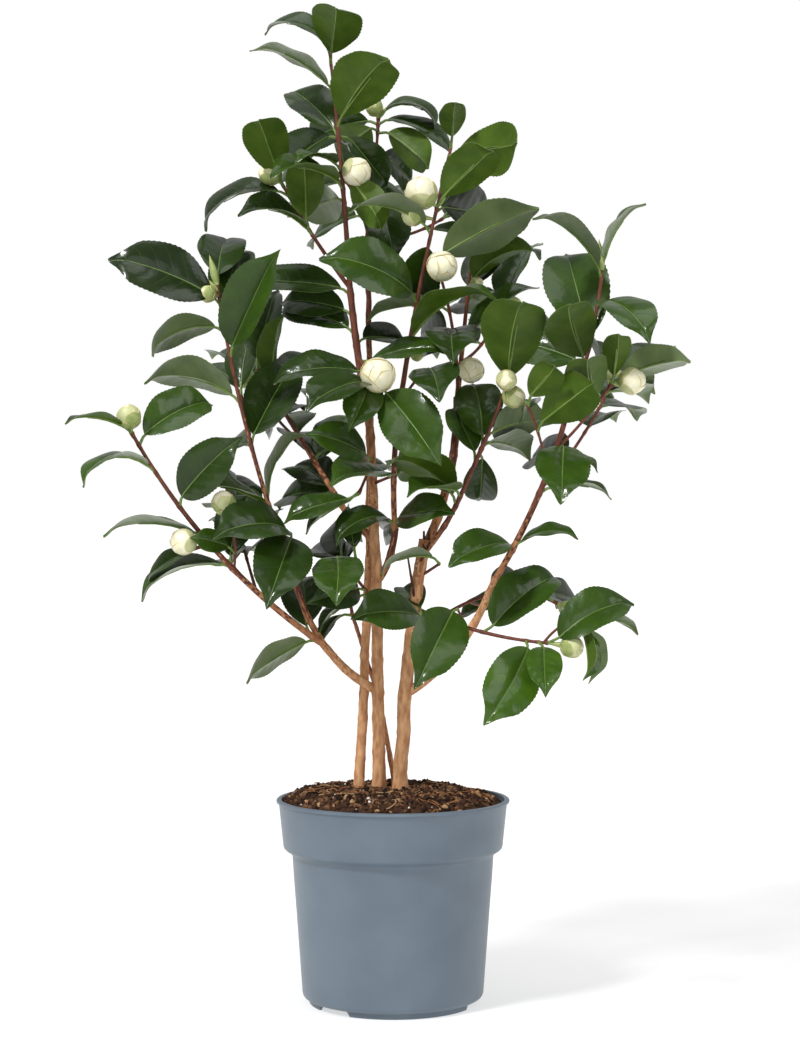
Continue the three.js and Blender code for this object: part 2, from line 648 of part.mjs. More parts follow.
// A closed tube through rings of `sides` corners round each point of a path.
function tube(points, radii, sides) {
  const corners = [];
  let side = Math.abs(unit(sub(points[1], points[0]))[2]) > 0.9 ? [1, 0, 0] : [0, 0, 1];
  points.forEach((p, i) => {
    const way = unit(sub(points[Math.min(i + 1, points.length - 1)], points[Math.max(i - 1, 0)]));
    side = unit(add(side, way, -dot(side, way)));
    const other = cross(way, side);
    for (let k = 0; k < sides; k += 1) {
      const a = (2 * Math.PI * k) / sides;
      corners.push(add(add(p, side, radii[i] * Math.cos(a)), other, radii[i] * Math.sin(a)));
    }
  });
  const faces = [];
  for (let i = 0; i + 1 < points.length; i += 1) {
    for (let k = 0; k < sides; k += 1) {
      const [a, b] = [i * sides + k, i * sides + ((k + 1) % sides)];
      faces.push([a, b, b + sides], [a, b + sides, a + sides]);
    }
  }
  const end = (points.length - 1) * sides;
  for (let k = 1; k + 1 < sides; k += 1) {
    faces.push([0, k + 1, k], [end, end + k, end + k + 1]);
  }
  return solid(corners, faces);
}

const SEGMENT = 34; // length of limb to one straight piece
function limbSolid(limb, sides, extra = 0) {
  const count = Math.max(2, Math.ceil(reach(limb) / SEGMENT));
  const steps = Array.from({ length: count + 1 }, (_, i) => i / count);
  if (limb.flare) steps.splice(1, 0, 0.03);
  const points = steps.map((t) => spot(limb, t));
  const radii = steps.map((t) => girth(limb, t) + extra);
  if (extra) points[points.length - 1] = add(points.at(-1), heading(limb, 1), extra + 0.05);
  return tube(points, radii, sides);
}

// A leaf is lofted through rings: a three-cornered stalk, a four-cornered blade, then its tip.
function bladeSolid(blade) {
  const right = cross(blade.along, blade.face);
  const corners = [];
  for (const [point, r] of [[blade.site, STALK[0]], [blade.base, STALK[1]]]) {
    corners.push(add(point, right, -r), add(point, right, r), add(point, blade.face, -1.4 * r));
  }
  for (const row of outline(blade)) {
    const [top, under] = [1, -1].map((side) => add(row.point, row.up, (side * LEAF.thick) / 2));
    corners.push(row.left, top, row.right, under);
  }
  corners.push(midrib(blade, 1).point);
  const last = corners.length - 1;
  const faces = [[0, 2, 1], [3, 4, 7], [4, 8, 7], [3, 7, 6]];
  for (const [p, q, far] of [[0, 1, 3], [1, 2, 3], [2, 0, 3], [4, 5, 4], [5, 3, 4]]) {
    const [a, b] = p === 5 ? [9, 6] : [p + far, q + far];
    faces.push([p, q, b], [p, b, a]);
  }
  for (let i = 6; i + 4 < last; i += 4) {
    for (let k = 0; k < 4; k += 1) {
      const [p, q] = [i + k, i + ((k + 1) % 4)];
      faces.push([p, q, q + 4], [p, q + 4, p + 4]);
    }
  }
  for (let k = 0; k < 4; k += 1) faces.push([last - 4 + k, last - 4 + ((k + 1) % 4), last]);
  return solid(corners, faces);
}

// A body of revolution about `along`, through [distance, radius] rings, pointed at both ends.
function spindle(start, along, rings, length, sides) {
  const spare = Math.abs(along[2]) > 0.9 ? [1, 0, 0] : [0, 0, 1];
  const side = unit(cross(spare, along));
  const other = cross(along, side);
  const corners = [start];
  for (const [far, radius] of rings) {
    for (let k = 0; k < sides; k += 1) {
      const a = (2 * Math.PI * k) / sides;
      const out = add(add([0, 0, 0], side, radius * Math.cos(a)), other, radius * Math.sin(a));
      corners.push(add(add(start, along, far), out));
    }
  }
  corners.push(add(start, along, length));
  const last = corners.length - 1;
  const faces = [];
  for (let k = 0; k < sides; k += 1) {
    const [a, b] = [1 + k, 1 + ((k + 1) % sides)];
    faces.push([0, b, a], [last, last - sides + k, last - sides + ((k + 1) % sides)]);
    for (let i = 0; i + 1 < rings.length; i += 1) {
      const up = i * sides;
      faces.push([a + up, b + up, b + up + sides], [a + up, b + up + sides, a + up + sides]);
    }
  }
  return solid(corners, faces);
}

const BUD_RINGS = [[0.12, 0.46], [0.6, 0.94], [1.25, 0.97], [1.8, 0.48]];
function budSolid(bud) {
  const start = add(bud.centre, bud.along, -bud.radius);
  const rings = BUD_RINGS.map(([far, wide]) => [far * bud.radius, wide * bud.radius]);
  const end = add(start, bud.along, bud.radius * 0.5);
  return [
    spindle(start, bud.along, rings, 2 * bud.radius, SIDES.bud),
    tube([bud.site, end], [0.9, 1.2], SIDES.stalk),
  ];
}

function spearSolid(twig, [at, clock, lean, length]) {
  const { along } = bladeWays(clock, lean, 0);
  const rings = [[0.06 * length, 0.8], [0.35 * length, 0.13 * length], [0.7 * length, 0.09 * length]];
  return spindle(add(spot(twig, at), along, -0.5), along, rings, length, SIDES.spear);
}

function shootSolid(shoot, twigs, laid, fatLimbs) {
  const own = twigs.filter((twig) => twig.shoot === shoot);
  const pieces = own.map((twig, i) => limbSolid(twig, i ? SIDES.twig : SIDES.shoot));
  for (const twig of own) {
    for (const row of twig.spears ?? []) pieces.push(spearSolid(twig, row));
  }
  for (const bud of laid.buds) if (bud.shoot === shoot) pieces.push(...budSolid(bud));
  for (const blade of laid.blades) if (blade.shoot === shoot) pieces.push(bladeSolid(blade));
  let body = wasm.Manifold.union(pieces);
  for (const fat of fatLimbs) body = body.subtract(fat);
  const parts = body.decompose();
  parts.sort((a, b) => b.volume() - a.volume());
  return parts[0];
}

function limbNodes(limbs) {
  const solids = {};
  for (const [name, limb] of Object.entries(limbs)) {
    let body = limbSolid(limb, limb.sides);
    if (STEMS[name]) body = body.trimByPlane([0, 0, 1], SOIL_TOP + CLEAR);
    const parent = BOUGHS[name]?.on;
    if (parent) body = body.subtract(limbSolid(limbs[parent], limbs[parent].sides, CLEAR));
    const parts = body.decompose();
    parts.sort((a, b) => b.volume() - a.volume());
    solids[name] = parts[0];
  }
  return solids;
}

// ---- pot and peat --------------------------------------------------------------------------------
// A body of revolution about Z: the profile is [radius, height], from the axis round to the axis.
function turned(profile, sides, lift = () => 0) {
  const corners = [];
  const starts = [];
  for (const [radius, height] of profile) {
    starts.push(corners.length);
    const count = radius === 0 ? 1 : sides;
    for (let k = 0; k < count; k += 1) {
      const a = (2 * Math.PI * k) / sides;
      const [x, y] = [radius * Math.cos(a), radius * Math.sin(a)];
      corners.push([x, y, height + lift(x, y, height)]);
    }
  }
  const faces = [];
  for (let i = 0; i + 1 < profile.length; i += 1) {
    for (let k = 0; k < sides; k += 1) {
      const pick = (ring, n) => starts[ring] + (profile[ring][0] === 0 ? 0 : n % sides);
      const [a, b, c, d] = [pick(i, k), pick(i, k + 1), pick(i + 1, k + 1), pick(i + 1, k)];
      if (a !== b) faces.push([a, b, c]);
      if (c !== d) faces.push([a, c, d]);
    }
  }
  return solid(corners, faces);
}

const RING_WIDTH = 2; // of the foot ring
const FLOOR_LIFT = 3.4; // underside of the floor above the ground
const PAD = 14; // radius of the flat pad under the middle of the floor, level with the foot ring
function potSolid() {
  const p = POT;
  const outside = [
    [0, 0], [PAD, 0], [PAD + 2, FLOOR_LIFT],
    [p.ring - RING_WIDTH, FLOOR_LIFT], [p.ring - RING_WIDTH, 0], [p.ring, 0],
    [p.ring, FLOOR_LIFT], [p.ring + 0.9, FLOOR_LIFT + 0.2], [p.foot - 1.2, p.footZ - 2],
    [p.foot, p.footZ], [p.neck, p.neckZ], [p.neck + 2, p.neckZ + 2.4],
    [p.bandLow - 1.4, p.bandBottom - 1.2], [p.bandLow, p.bandBottom + 0.8],
    [p.bandTop, p.height - p.lip], [p.rim - 0.4, p.height - p.lip], [p.rim, p.height - 1.2],
    [p.rim - 0.4, p.height - 0.2], [p.rim - 1.2, p.height],
  ];
  const inside = [
    [p.bandTop - p.wall + 0.4, p.height], [p.bandTop - p.wall, p.height - 1],
    [p.bandLow - p.wall, p.bandBottom + 2], [p.neck - p.wall, p.neckZ - 1],
    [p.foot - p.wall, p.footZ + 2], [p.foot - p.wall - 1.6, FLOOR_LIFT + p.floor],
    [0, FLOOR_LIFT + p.floor],
  ];
  let pot = turned([...outside, ...inside], SIDES.pot);
  for (const gap of FOOT_GAPS) {
    const wide = 2 * p.ring * Math.sin(rad(FOOT_GAP / 2));
    const tool = wasm.Manifold.cube([wide, 10, 2 * FLOOR_LIFT], true)
      .translate([0, -p.ring, 0])
      .rotate([0, 0, gap]);
    pot = pot.subtract(tool);
  }
  return pot;
}

function soilSolid() {
  const p = POT;
  const inset = p.wall + CLEAR;
  const base = [
    [0, FLOOR_LIFT + p.floor + CLEAR], [p.foot - inset - 1.8, FLOOR_LIFT + p.floor + CLEAR],
    [p.foot - inset - 0.3, p.footZ + 2.4], [p.neck - inset - 0.2, p.neckZ - 1],
    [p.bandLow - inset - 0.2, p.bandBottom + 2.2], [p.bandTop - inset - 0.9, p.height - 6],
  ];
  const top = [
    [p.bandTop - inset - 1, p.height - 2.5], [62, SOIL_TOP - 3.6], [48, SOIL_TOP - 1.2],
    [32, SOIL_TOP], [0, SOIL_TOP],
  ];
  const uneven = (x, y, z) => {
    if (z < p.height - 5 || Math.hypot(x, y) < 40) return 0;
    const side = (-x - y) / p.rim;
    return 1.6 * side + 0.8 * Math.sin(x / 7) * Math.cos(y / 9);
  };
  return turned([...base, ...top], SIDES.soil, uneven);
}

// ---- the scene --------------------------------------------------------------------------------------
function node(name, body, colour, roughness) {
  const { vertProperties, triVerts, numProp } = body.getMesh();
  const place = new Float32Array((vertProperties.length / numProp) * 3);
  for (let i = 0; i < place.length / 3; i += 1) {
    for (let k = 0; k < 3; k += 1) place[3 * i + k] = vertProperties[numProp * i + k];
  }
  const geometry = new THREE.BufferGeometry();
  geometry.setAttribute('position', new THREE.BufferAttribute(place, 3));
  geometry.setIndex(new THREE.BufferAttribute(triVerts, 1));
  geometry.computeVertexNormals();
  const mesh = new THREE.Mesh(geometry, new THREE.MeshStandardMaterial({ color: colour, roughness }));
  mesh.name = name;
  return mesh;
}

function build() {
  const limbs = layLimbs();
  const twigs = layTwigs(limbs);
  const laid = layLeaves(twigs, limbs);
  const fatLimbs = Object.values(limbs).map((limb) => limbSolid(limb, limb.sides, CLEAR));
  const plant = new THREE.Group();
  plant.add(node('pot', potSolid(), COLOURS.pot, 0.6));
  plant.add(node('soil', soilSolid(), COLOURS.soil, 0.95));
  for (const [name, body] of Object.entries(limbNodes(limbs))) {
    plant.add(node(name, body, COLOURS.bark, 0.8));
  }
  for (const shoot of Object.keys(SHOOTS)) {
    plant.add(node(shoot, shootSolid(shoot, twigs, laid, fatLimbs), COLOURS.leaf, 0.4));
  }
  return plant;
}

export default build();
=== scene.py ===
"""Looks of a potted camellia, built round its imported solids: bark, twigs, leaves, buds, peat and pot.

Every piece is laid out in the source's millimetres and scaled to the frame by the pot's height.
Stems, twigs, leaves and buds stand where the source's own rule puts them, and are shaped more finely.
"""

import math
from types import SimpleNamespace

import bmesh
import bpy
import numpy as np
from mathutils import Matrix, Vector, noise


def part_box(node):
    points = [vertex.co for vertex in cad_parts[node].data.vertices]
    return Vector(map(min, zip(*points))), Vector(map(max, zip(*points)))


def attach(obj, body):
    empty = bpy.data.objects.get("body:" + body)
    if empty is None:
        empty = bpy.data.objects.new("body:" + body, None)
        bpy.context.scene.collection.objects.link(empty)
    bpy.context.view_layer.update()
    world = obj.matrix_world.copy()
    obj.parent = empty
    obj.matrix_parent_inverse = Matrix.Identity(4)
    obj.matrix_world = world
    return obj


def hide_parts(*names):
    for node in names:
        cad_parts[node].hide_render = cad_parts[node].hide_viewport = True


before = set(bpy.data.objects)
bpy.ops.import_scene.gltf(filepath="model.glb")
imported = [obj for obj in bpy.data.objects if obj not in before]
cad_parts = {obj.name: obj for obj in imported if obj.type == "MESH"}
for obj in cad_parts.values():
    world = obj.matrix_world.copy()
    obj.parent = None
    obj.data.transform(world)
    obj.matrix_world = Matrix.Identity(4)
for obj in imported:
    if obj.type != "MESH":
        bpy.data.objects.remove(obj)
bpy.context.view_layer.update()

# ---- driving sizes, in the source's millimetres ----
POT = SimpleNamespace(  # radii of the outline, then heights, then thicknesses
    rim=75.8, band_top=74.2, band_low=71.3, neck=65.4, foot=58.9, ring=54.3,
    height=132, band_bottom=101, neck_z=96, foot_z=6.8, wall=1.8, floor=4, lip=2.2,
)
FOOT_GAP = 27  # degrees of each gap in the foot ring
FOOT_GAPS = (-45, 75, 195)  # degrees from the front, anticlockwise seen from above
SOIL_TOP = 139  # level of the peat where the stems stand
BURIED = 4  # how far the stems' curves start below it
PETIOLE = 8
LEAF = SimpleNamespace(breadth=0.54, thick=0.5, fold=14)  # breadth is a share of the length
STATIONS = ((0.16, 0.68), (0.46, 1), (0.79, 0.6))  # along the source's blade, breadth
BALL_STEP = 2.5  # between the balls that stand for a limb
SPAN = 0.56  # from a blade's middle to its farthest corner, as a share of its length
BLADE_GAP = 1.7  # between the middles of two blades of different shoots
BALL_GAP = 1.1  # between a blade's middle and a twig or a bud
ASIDE = (0, 8, -8, 16, -16, 25, -25, 35, -35, 46, -46)  # degrees a blade may lean aside
pot_low, pot_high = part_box("pot")
UNIT = (pot_high.z - pot_low.z) / POT.height  # metres to one of the source's millimetres


# ---- rows of the plant: bow is how far a limb's middle stands aside, radii are at foot and tip ----
def stem(foot, tip, bow, radii, flare):
    """A stem whose curve starts below the peat, with a flare at its foot."""
    return {"from": (*foot, SOIL_TOP - BURIED), "to": tip, "bow": bow, "radii": radii, "flare": flare}


def bough(on, at, tip, bow, radii):
    """A bough that leaves another limb at a fraction of its length."""
    return {"on": on, "at": at, "to": tip, "bow": bow, "radii": radii}


def grow(on, at, tip, bow, radii, leaves, buds=(), spears=()):
    """A twig of a shoot with what it carries. on is a limb, or the number of an earlier twig."""
    return {**bough(on, at, tip, bow, radii), "leaves": leaves, "buds": buds, "spears": spears}


STEMS = {
    "stem_left": stem((-22.8, 4), (-18, 40, 500), (5, -4, 0), (3.3, 1.5), 0.5),
    "stem_middle": stem((-9, 3), (-15, 0, 372), (1.5, 0, 0), (4.3, 2.8), 0.8),
    "stem_right": stem((4.6, -7), (20.5, -9, 299), (-3, 0, 0), (4.6, 3.8), 1.6),
    "stem_thin": stem((1, 8), (-27, 22, 250), (4, 0, 0), (1.6, 1.2), 0.2),
}
BOUGHS = {
    "bough_low_left": bough("stem_middle", 0.28, (-46, -12, 234), (-1, 0, -3), (3, 2.4)),
    "bough_left": bough("bough_low_left", 0.9, (-66.6, -10, 283), (-3, 0, 0), (2.2, 1.7)),
    "bough_mid_left": bough("stem_middle", 0.69, (-31, 6, 318), (0, 0, 0), (2.5, 2.2)),
    "bough_red": bough("stem_middle", 0.58, (1.5, -2, 306), (2, 0, -2), (2.6, 2.1)),
    "bough_inner_right": bough("stem_right", 0.96, (42, 14, 392), (5.5, 0, -3), (3, 2.4)),
    "bough_front_right": bough("stem_right", 0.95, (39.8, -20, 321), (0, 0, -2), (2, 1.6)),
    "bough_right": bough("stem_right", 0.4, (65, -27, 275), (6, 0, -6), (3.2, 2.3)),
}

# ---- shoots ----
# Leaves are (site along the twig, clock of the blade seen from the front, lean towards the front,
# turn of the upper face with 0 front, 90 up and 180 away, length, curl, and at times the fold).
# Buds are (site, clock, lean, radius, stalk) and spears, the leaf buds, (site, clock, lean, length).
SHOOTS = {}
SHOOTS["shoot_top"] = [
    grow("stem_middle", 1, (-28, 0, 464), (-1, 0, 0), (2.7, 2.2), [
        (0.66, 157, -35, 40, 60, 30), (0.95, 175, -8, 50, 64, 20), (0.8, 170, -55, 30, 52, 20),
        (0.6, 0, -52, 50, 50, 25),
    ]),
    grow(0, 1, (-41, -8, 616), (1, 0, 0), (2, 0.9), [
        (1, 169, -12, 60, 47, 90), (0.95, 74, 71, 180, 63, 14), (0.82, 156, 15, 97, 58, 45, 5),
        (0.68, 42, 55, 151, 76, 14), (0.635, 134, -40, 26, 60, 30), (0.49, 186, 50, 75, 42, 50),
        (0.635, 208, -42, 25, 62, 30), (0.417, 181, 42, 72, 58, 50), (0.36, 188, -55, 150, 60, 20),
        (0.48, 300, 20, 160, 44, 20), (0.644, 313, -20, 20, 48, 25),
    ], buds=[(0.502, 350, 25, 9.4, 2)], spears=[(0.796, 103, 10, 13)]),
    grow(0, 1, (-73, 16, 534), (-2, 0, 0), (1.5, 0.9), [
        (0.97, 110, 56, 178, 60, 25), (0.88, 205, -12, 64, 64, 80), (0.5, 172, 38, 62, 56, 55),
        (0.56, 90, 40, 178, 48, 25),
    ], buds=[(1, 140, 0, 7.8, 2.5)]),
    grow(0, 0.55, (-8, -33, 399), (-4, 0, 3), (1.6, 1.3), [
        (0.68, 186, 0, 55, 58, 50), (0.86, 205, 33, 48, 60, 40), (0.72, 250, 52, 0, 50, 30),
        (0.42, 8, -10, 60, 52, 30), (1, 306, 34, 0, 68, 18),
    ], buds=[(0.97, 95, 66, 11.4, 1)]),
]
SHOOTS["shoot_back"] = [
    grow("stem_left", 1, (-10, 46, 582), (1, 0, 0), (1.5, 0.9), [
        (0.95, 195, -35, 20, 58, 30), (1, 336, 0, 68, 46, 115), (0.95, 329, 10, 60, 56, 60),
        (0.9, 230, 60, 170, 52, 30), (0.88, 314, 42, 150, 50, 30), (0.68, 327, -60, 30, 52, 20),
        (0.52, 281, 42, 8, 62, 40), (0.2, 30, -45, 30, 60, 30),
    ], buds=[(1, 110, 0, 6, 2)], spears=[(1, 52, 0, 11)]),
    grow(0, 0.05, (-32, 92, 546), (4, 0, -6), (1.3, 0.9), [
        (0.5, 205, -50, 60, 60, 30), (0.7, 20, -30, 70, 62, 30), (1, 110, -35, 60, 62, 30),
        (0.98, 200, -45, 60, 60, 30),
    ], buds=[(1, 60, -40, 8, 2)]),
    grow(0, 0.02, (34, 88, 520), (0, 6, -4), (1.3, 0.9), [
        (0.5, 150, -60, 60, 60, 30), (0.75, 340, -30, 70, 62, 30), (1, 60, -35, 60, 62, 30),
        (0.97, 10, -60, 70, 60, 30),
    ]),
]
SHOOTS["shoot_red"] = [
    grow("bough_red", 1, (6.5, -11, 401), (-3, 0, 0), (2, 1.8), [
        (0.05, 206, 25, 50, 46, 75), (0.05, 8, 50, 45, 54, 30), (0.03, 235, -45, 30, 48, 20),
        (0.34, 30, -55, 160, 44, 20),
    ]),
    grow(0, 1, (28.3, -20, 514), (-1, 0, 1), (1.8, 1), [
        (0.22, 24, 26, 96, 70, 55), (0.45, 160, 20, 28, 70, 55), (0.8, 258, -48, 10, 60, 20),
        (0.84, 172, 10, 100, 58, 55), (1, 40, 42, 150, 56, 25), (0.97, 5, -58, 0, 62, 15),
    ], buds=[(1, 138, 0, 10.7, 3), (0.93, 169, 0, 7.2, 7), (0.16, 0, -40, 4, 4)],
       spears=[(1, 54, 0, 12)]),
    grow(0, 0.86, (21, -24, 409), (0, 0, 2), (1, 0.9), [(1, 284, 70, 3, 62, 25)]),
    grow(1, 0.96, (38, 6, 557), (0, 0, 0), (1.1, 0.9), [
        (0.97, 86, 58, 170, 36, 20, 20), (0.85, 355, 54, 178, 66, 20),
    ]),
]
SHOOTS["shoot_inner"] = [
    grow("bough_inner_right", 1, (51, 28, 478), (0, 0, 0), (2, 1), [
        (0.8, 52, -50, 42, 60, 30), (0.86, 15, 35, 112, 62, 85), (0.78, 330, -50, 150, 50, 20),
        (0.42, 38, -30, 65, 62, 25),
    ], buds=[(0.22, 5, 60, 8.5, 6), (0.88, 20, 30, 4, 3)]),
    grow(0, 0.04, (27, -18, 481), (4, 0, 0), (1.3, 0.9), [
        (0.96, 26, 12, 142, 70, 25), (0.62, 187, -55, 100, 52, 30), (0.45, 197, -25, 45, 58, 30),
        (0.32, 178, -50, 30, 56, 20), (0.46, 268, 52, 3, 62, 28),
    ], buds=[(0.97, 320, 65, 10, 1)]),
    grow(0, 0.3, (74, 78, 456), (0, 4, -6), (1.2, 0.9), [
        (0.5, 190, -60, 70, 60, 30), (0.7, 20, -65, 70, 62, 30), (1, 60, -30, 60, 62, 30),
        (0.98, 330, -30, 70, 60, 30), (0.9, 160, -60, 40, 60, 30),
    ], buds=[(1, 20, -40, 8, 2)]),
]
SHOOTS["shoot_front_right"] = [
    grow("bough_front_right", 1, (71.8, -36, 397.5), (1, 0, 0), (1.6, 1), [
        (0.51, 98, -40, 0, 59, 20, 4), (0.38, 112, -55, 20, 44, 20), (0.58, 12, -58, 150, 56, 30),
        (0.5, 345, -58, 120, 58, 30), (0.46, 268, -50, 10, 46, 20), (0.1, 182, 55, 78, 56, 20),
        (0.03, 154, 40, 125, 66, 60), (0.99, 83, 55, 180, 82, 20),
    ], buds=[(1, 95, 75, 6.7, 9), (0.92, 0, 35, 7.3, 1.5)]),
]
SHOOTS["shoot_right"] = [
    grow("bough_right", 1, (108, -45, 374), (4, 0, 0), (2.2, 1.8), [
        (0.2, 197, 38, 42, 54, 50), (0.21, 5, 20, 70, 40, 55), (0.56, 352, 5, 82, 42, 45),
        (0.74, 343, -10, 100, 28, 60),
    ]),
    grow(0, 1, (132.8, -35, 472), (4, 0, 0), (1.7, 1), [
        (0.36, 114, 50, 178, 66, 20), (0.49, 100, -32, 0, 84, 25), (0.76, 311, 50, 35, 62, 50),
        (0.36, 165, -25, 30, 62, 20), (0.95, 144, 22, 95, 58, 50), (1, 56, 24, 92, 46, 40),
        (0.24, 350, -60, 30, 40, 20),
    ], spears=[(1, 95, 0, 20)]),
    grow(0, 0.84, (137.7, -52, 399), (0, 0, -2), (1, 0.9), [
        (0.66, 108, 62, 178, 56, 30), (0.97, 90, 50, 180, 40, 10, 32), (1, 13, 28, 140, 49, 40, 28),
        (0.98, 350, -55, 120, 50, 40), (0.85, 354, -58, 100, 54, 15), (0.05, 262, 56, 3, 62, 28),
    ], buds=[(1, 8, 10, 8.8, 4)]),
    grow(0, 0.68, (84, -58, 386), (2, 0, 0), (0.9, 0.8), [
        (0.62, 38, 22, 178, 58, 15), (0.97, 52, 45, 178, 40, 20), (0.97, 110, -60, 150, 40, 20),
    ]),
    grow(0, 0.6, (142, 22, 398), (0, 6, -6), (1.2, 0.9), [
        (0.45, 200, -65, 60, 60, 30), (0.65, 20, -66, 70, 62, 30), (1, 30, -30, 60, 62, 30),
        (0.96, 100, -50, 40, 60, 30), (0.85, 350, -60, 80, 60, 30),
    ], buds=[(1, 60, -30, 8, 2)]),
]
SHOOTS["shoot_mid_left"] = [
    grow("bough_mid_left", 1, (-90, 30, 413), (0, 0, 0), (2.1, 1), [
        (0.06, 186, -48, 52, 62, 45), (0.14, 158, -58, 50, 60, 40), (0.35, 24, -55, 60, 46, 20),
        (1, 77, -30, 30, 60, 15), (0.82, 82, -20, 120, 48, 20), (0.8, 50, -50, 40, 56, 20),
    ]),
    grow(0, 0.5, (-96, 84, 408), (0, 4, -6), (1.1, 0.9), [
        (0.5, 150, -68, 70, 60, 30), (0.7, 20, -65, 60, 60, 30), (1, 150, -55, 60, 62, 30),
        (0.98, 80, -60, 40, 60, 30), (0.9, 280, -68, 60, 58, 30),
    ], buds=[(1, 160, -30, 8, 2)]),
    grow(0, 0.06, (-50, 80, 350), (0, 4, -6), (1.1, 0.9), [
        (0.55, 170, -68, 70, 60, 30), (0.75, 10, -60, 60, 60, 30), (1, 140, -60, 60, 62, 30),
        (0.98, 60, -50, 40, 60, 30),
    ]),
]
SHOOTS["shoot_left"] = [
    grow("bough_left", 1, (-113.4, -12, 465), (-5, 0, 0), (1.7, 1), [
        (0.93, 160, 12, 28, 72, 30), (0.83, 206, 20, 125, 54, 85), (0.58, 171, 12, 125, 62, 60),
        (0.74, 64, 12, 20, 71, 18, 36), (0.9, 75, -45, 20, 60, 20), (1, 84, -68, 0, 64, 30),
        (0.43, 64, -30, 8, 70, 25, 30), (0.22, 60, -20, 100, 54, 60), (0.2, 168, 45, 75, 60, 40),
        (0.18, 190, -50, 60, 60, 35),
    ], buds=[(0.96, 170, 20, 5.8, 2)], spears=[(1, 105, 0, 20), (0.98, 140, 0, 14)]),
    grow(0, 0.13, (-65, -30, 304.5), (0, 0, 0), (1, 0.9), [
        (0.85, 184, 40, 45, 64, 75), (1, 253, 53, 0, 70, 25),
    ], buds=[(0.75, 205, -12, 7, 2)]),
    grow(0, 0.3, (-102, 44, 396), (0, 6, -6), (1.1, 0.9), [
        (0.5, 200, -65, 70, 60, 30), (0.7, 20, -60, 60, 60, 30), (1, 150, -55, 60, 62, 30),
        (0.98, 80, -60, 40, 60, 30),
    ]),
]
SHOOTS["shoot_low_left"] = [
    grow("bough_low_left", 1, (-162.4, -65, 368), (-8, 0, -7), (2.3, 1.1), [
        (0.02, 212, 22, 125, 50, 20), (0.05, 98, -58, 3, 62, 15), (0.42, 203, 0, 75, 60, 60),
        (0.42, 75, -50, 15, 60, 20), (0.4, 345, -60, 130, 56, 20), (0.7, 44, 17, 12, 57, 30),
        (0.84, 198, 30, 80, 55, 100), (0.95, 28, -36, 25, 60, 45), (1, 176, 32, 95, 40, 40),
        (0.56, 180, 5, 92, 60, 45),
    ], buds=[(1, 100, 0, 7.8, 2.4)], spears=[(0.97, 125, 0, 10)]),
    grow(0, 0.53, (-123.6, -50, 296), (0, 0, 0), (1, 0.9), [
        (0.62, 212, -20, 60, 38, 20),
    ], buds=[(1, 155, 0, 8.5, 0.6)]),
    grow(0, 0.41, (-103, -46, 317), (2, 0, 0), (0.9, 0.8), [
        (0.3, 165, 20, 20, 28, 15),
    ], buds=[(1, 115, 35, 7.8, 2)]),
    grow(0, 0.3, (-104, 26, 312), (0, 6, -2), (1.1, 0.9), [
        (0.5, 180, -72, 70, 56, 30), (0.7, 40, -65, 60, 58, 30), (1, 160, -60, 60, 60, 30),
        (0.98, 100, -60, 40, 60, 30),
    ]),
]
SHOOTS["shoot_low_right"] = [
    grow("stem_right", 0.74, (96.9, -60, 236.8), (0, -2, -4), (1.5, 1), [
        (0.52, 35, -28, 35, 66, 70), (0.84, 237, 38, 0, 66, 22), (0.93, 268, 52, 0, 44, 28),
        (1, 24, -12, 38, 58, 60),
    ], buds=[(1, 352, 10, 7.4, 8)]),
    grow(0, 0.97, (115, -56, 250), (0, 3, 3), (0.9, 0.8), [
        (1, 345, -10, 110, 36, 60), (0.95, 272, 30, 70, 36, 28, 50), (0.97, 280, -30, 130, 42, 25, 50),
    ]),
    grow(0, 0.4, (41, -42, 257), (0, 0, 0), (0.9, 0.8), [(1, 242, 40, 0, 66, 22)]),
]
SHOOTS["shoot_low_back"] = [
    grow("stem_right", 0.6, (108, 16, 258), (0, 4, 17), (1.3, 0.9), [
        (0.97, 150, 20, 175, 30, 25), (1, 345, -40, 150, 44, 20), (0.5, 20, -50, 40, 48, 20),
        (0.7, 340, -50, 70, 58, 30),
    ], buds=[(1, 330, 0, 5.3, 2)]),
    grow(0, 0.4, (96, 78, 262), (0, 4, -6), (1.1, 0.9), [
        (0.5, 20, -72, 70, 56, 30), (0.75, 200, -50, 60, 44, 30), (1, 340, -55, 60, 60, 30),
    ], buds=[(1, 40, -30, 7.5, 2)]),
]
SHOOTS["shoot_crotch"] = [
    grow("stem_right", 0.86, (30, -16, 285), (0, 0, 0), (1.1, 0.9), [(1, 197, 25, 105, 42, 60)]),
]
SHOOTS["shoot_front_low"] = [
    grow("stem_right", 0.66, (19, -19, 250), (0, 0, 0), (1.2, 0.9), [
        (1, 178, 46, 35, 60, 20), (0.95, 135, -45, 30, 38, 20),
    ]),
]
SHOOTS["shoot_middle"] = [
    grow("stem_middle", 0.85, (-2, -12, 341), (0, 0, 0), (1.2, 0.9), [(1, 187, 54, 64, 62, 25)]),
]
SHOOTS["shoot_side"] = [
    grow("stem_middle", 0.9, (-14, -6, 352), (0, 0, 0), (1.2, 0.9), [(1, 160, 30, 30, 46, 30)]),
    grow(0, 0.4, (-22, -13, 330), (0, 0, 0), (1, 0.9), [
        (1, 198, 4, 50, 46, 35), (0.9, 215, 10, 75, 38, 20),
    ]),
]
SHOOTS["shoot_low_middle"] = [
    grow("stem_middle", 0.52, (-34, -25, 289), (0, 0, 0), (1.2, 0.9), [
        (1, 272, 64, 0, 60, 28), (0.3, 194, 45, 5, 46, 25), (0.2, 218, 45, 80, 40, 20),
    ]),
    grow(0, 0.5, (-24, -14, 288), (0, 0, 0), (1, 0.9), [(1, 100, -50, 10, 30, 10)]),
]
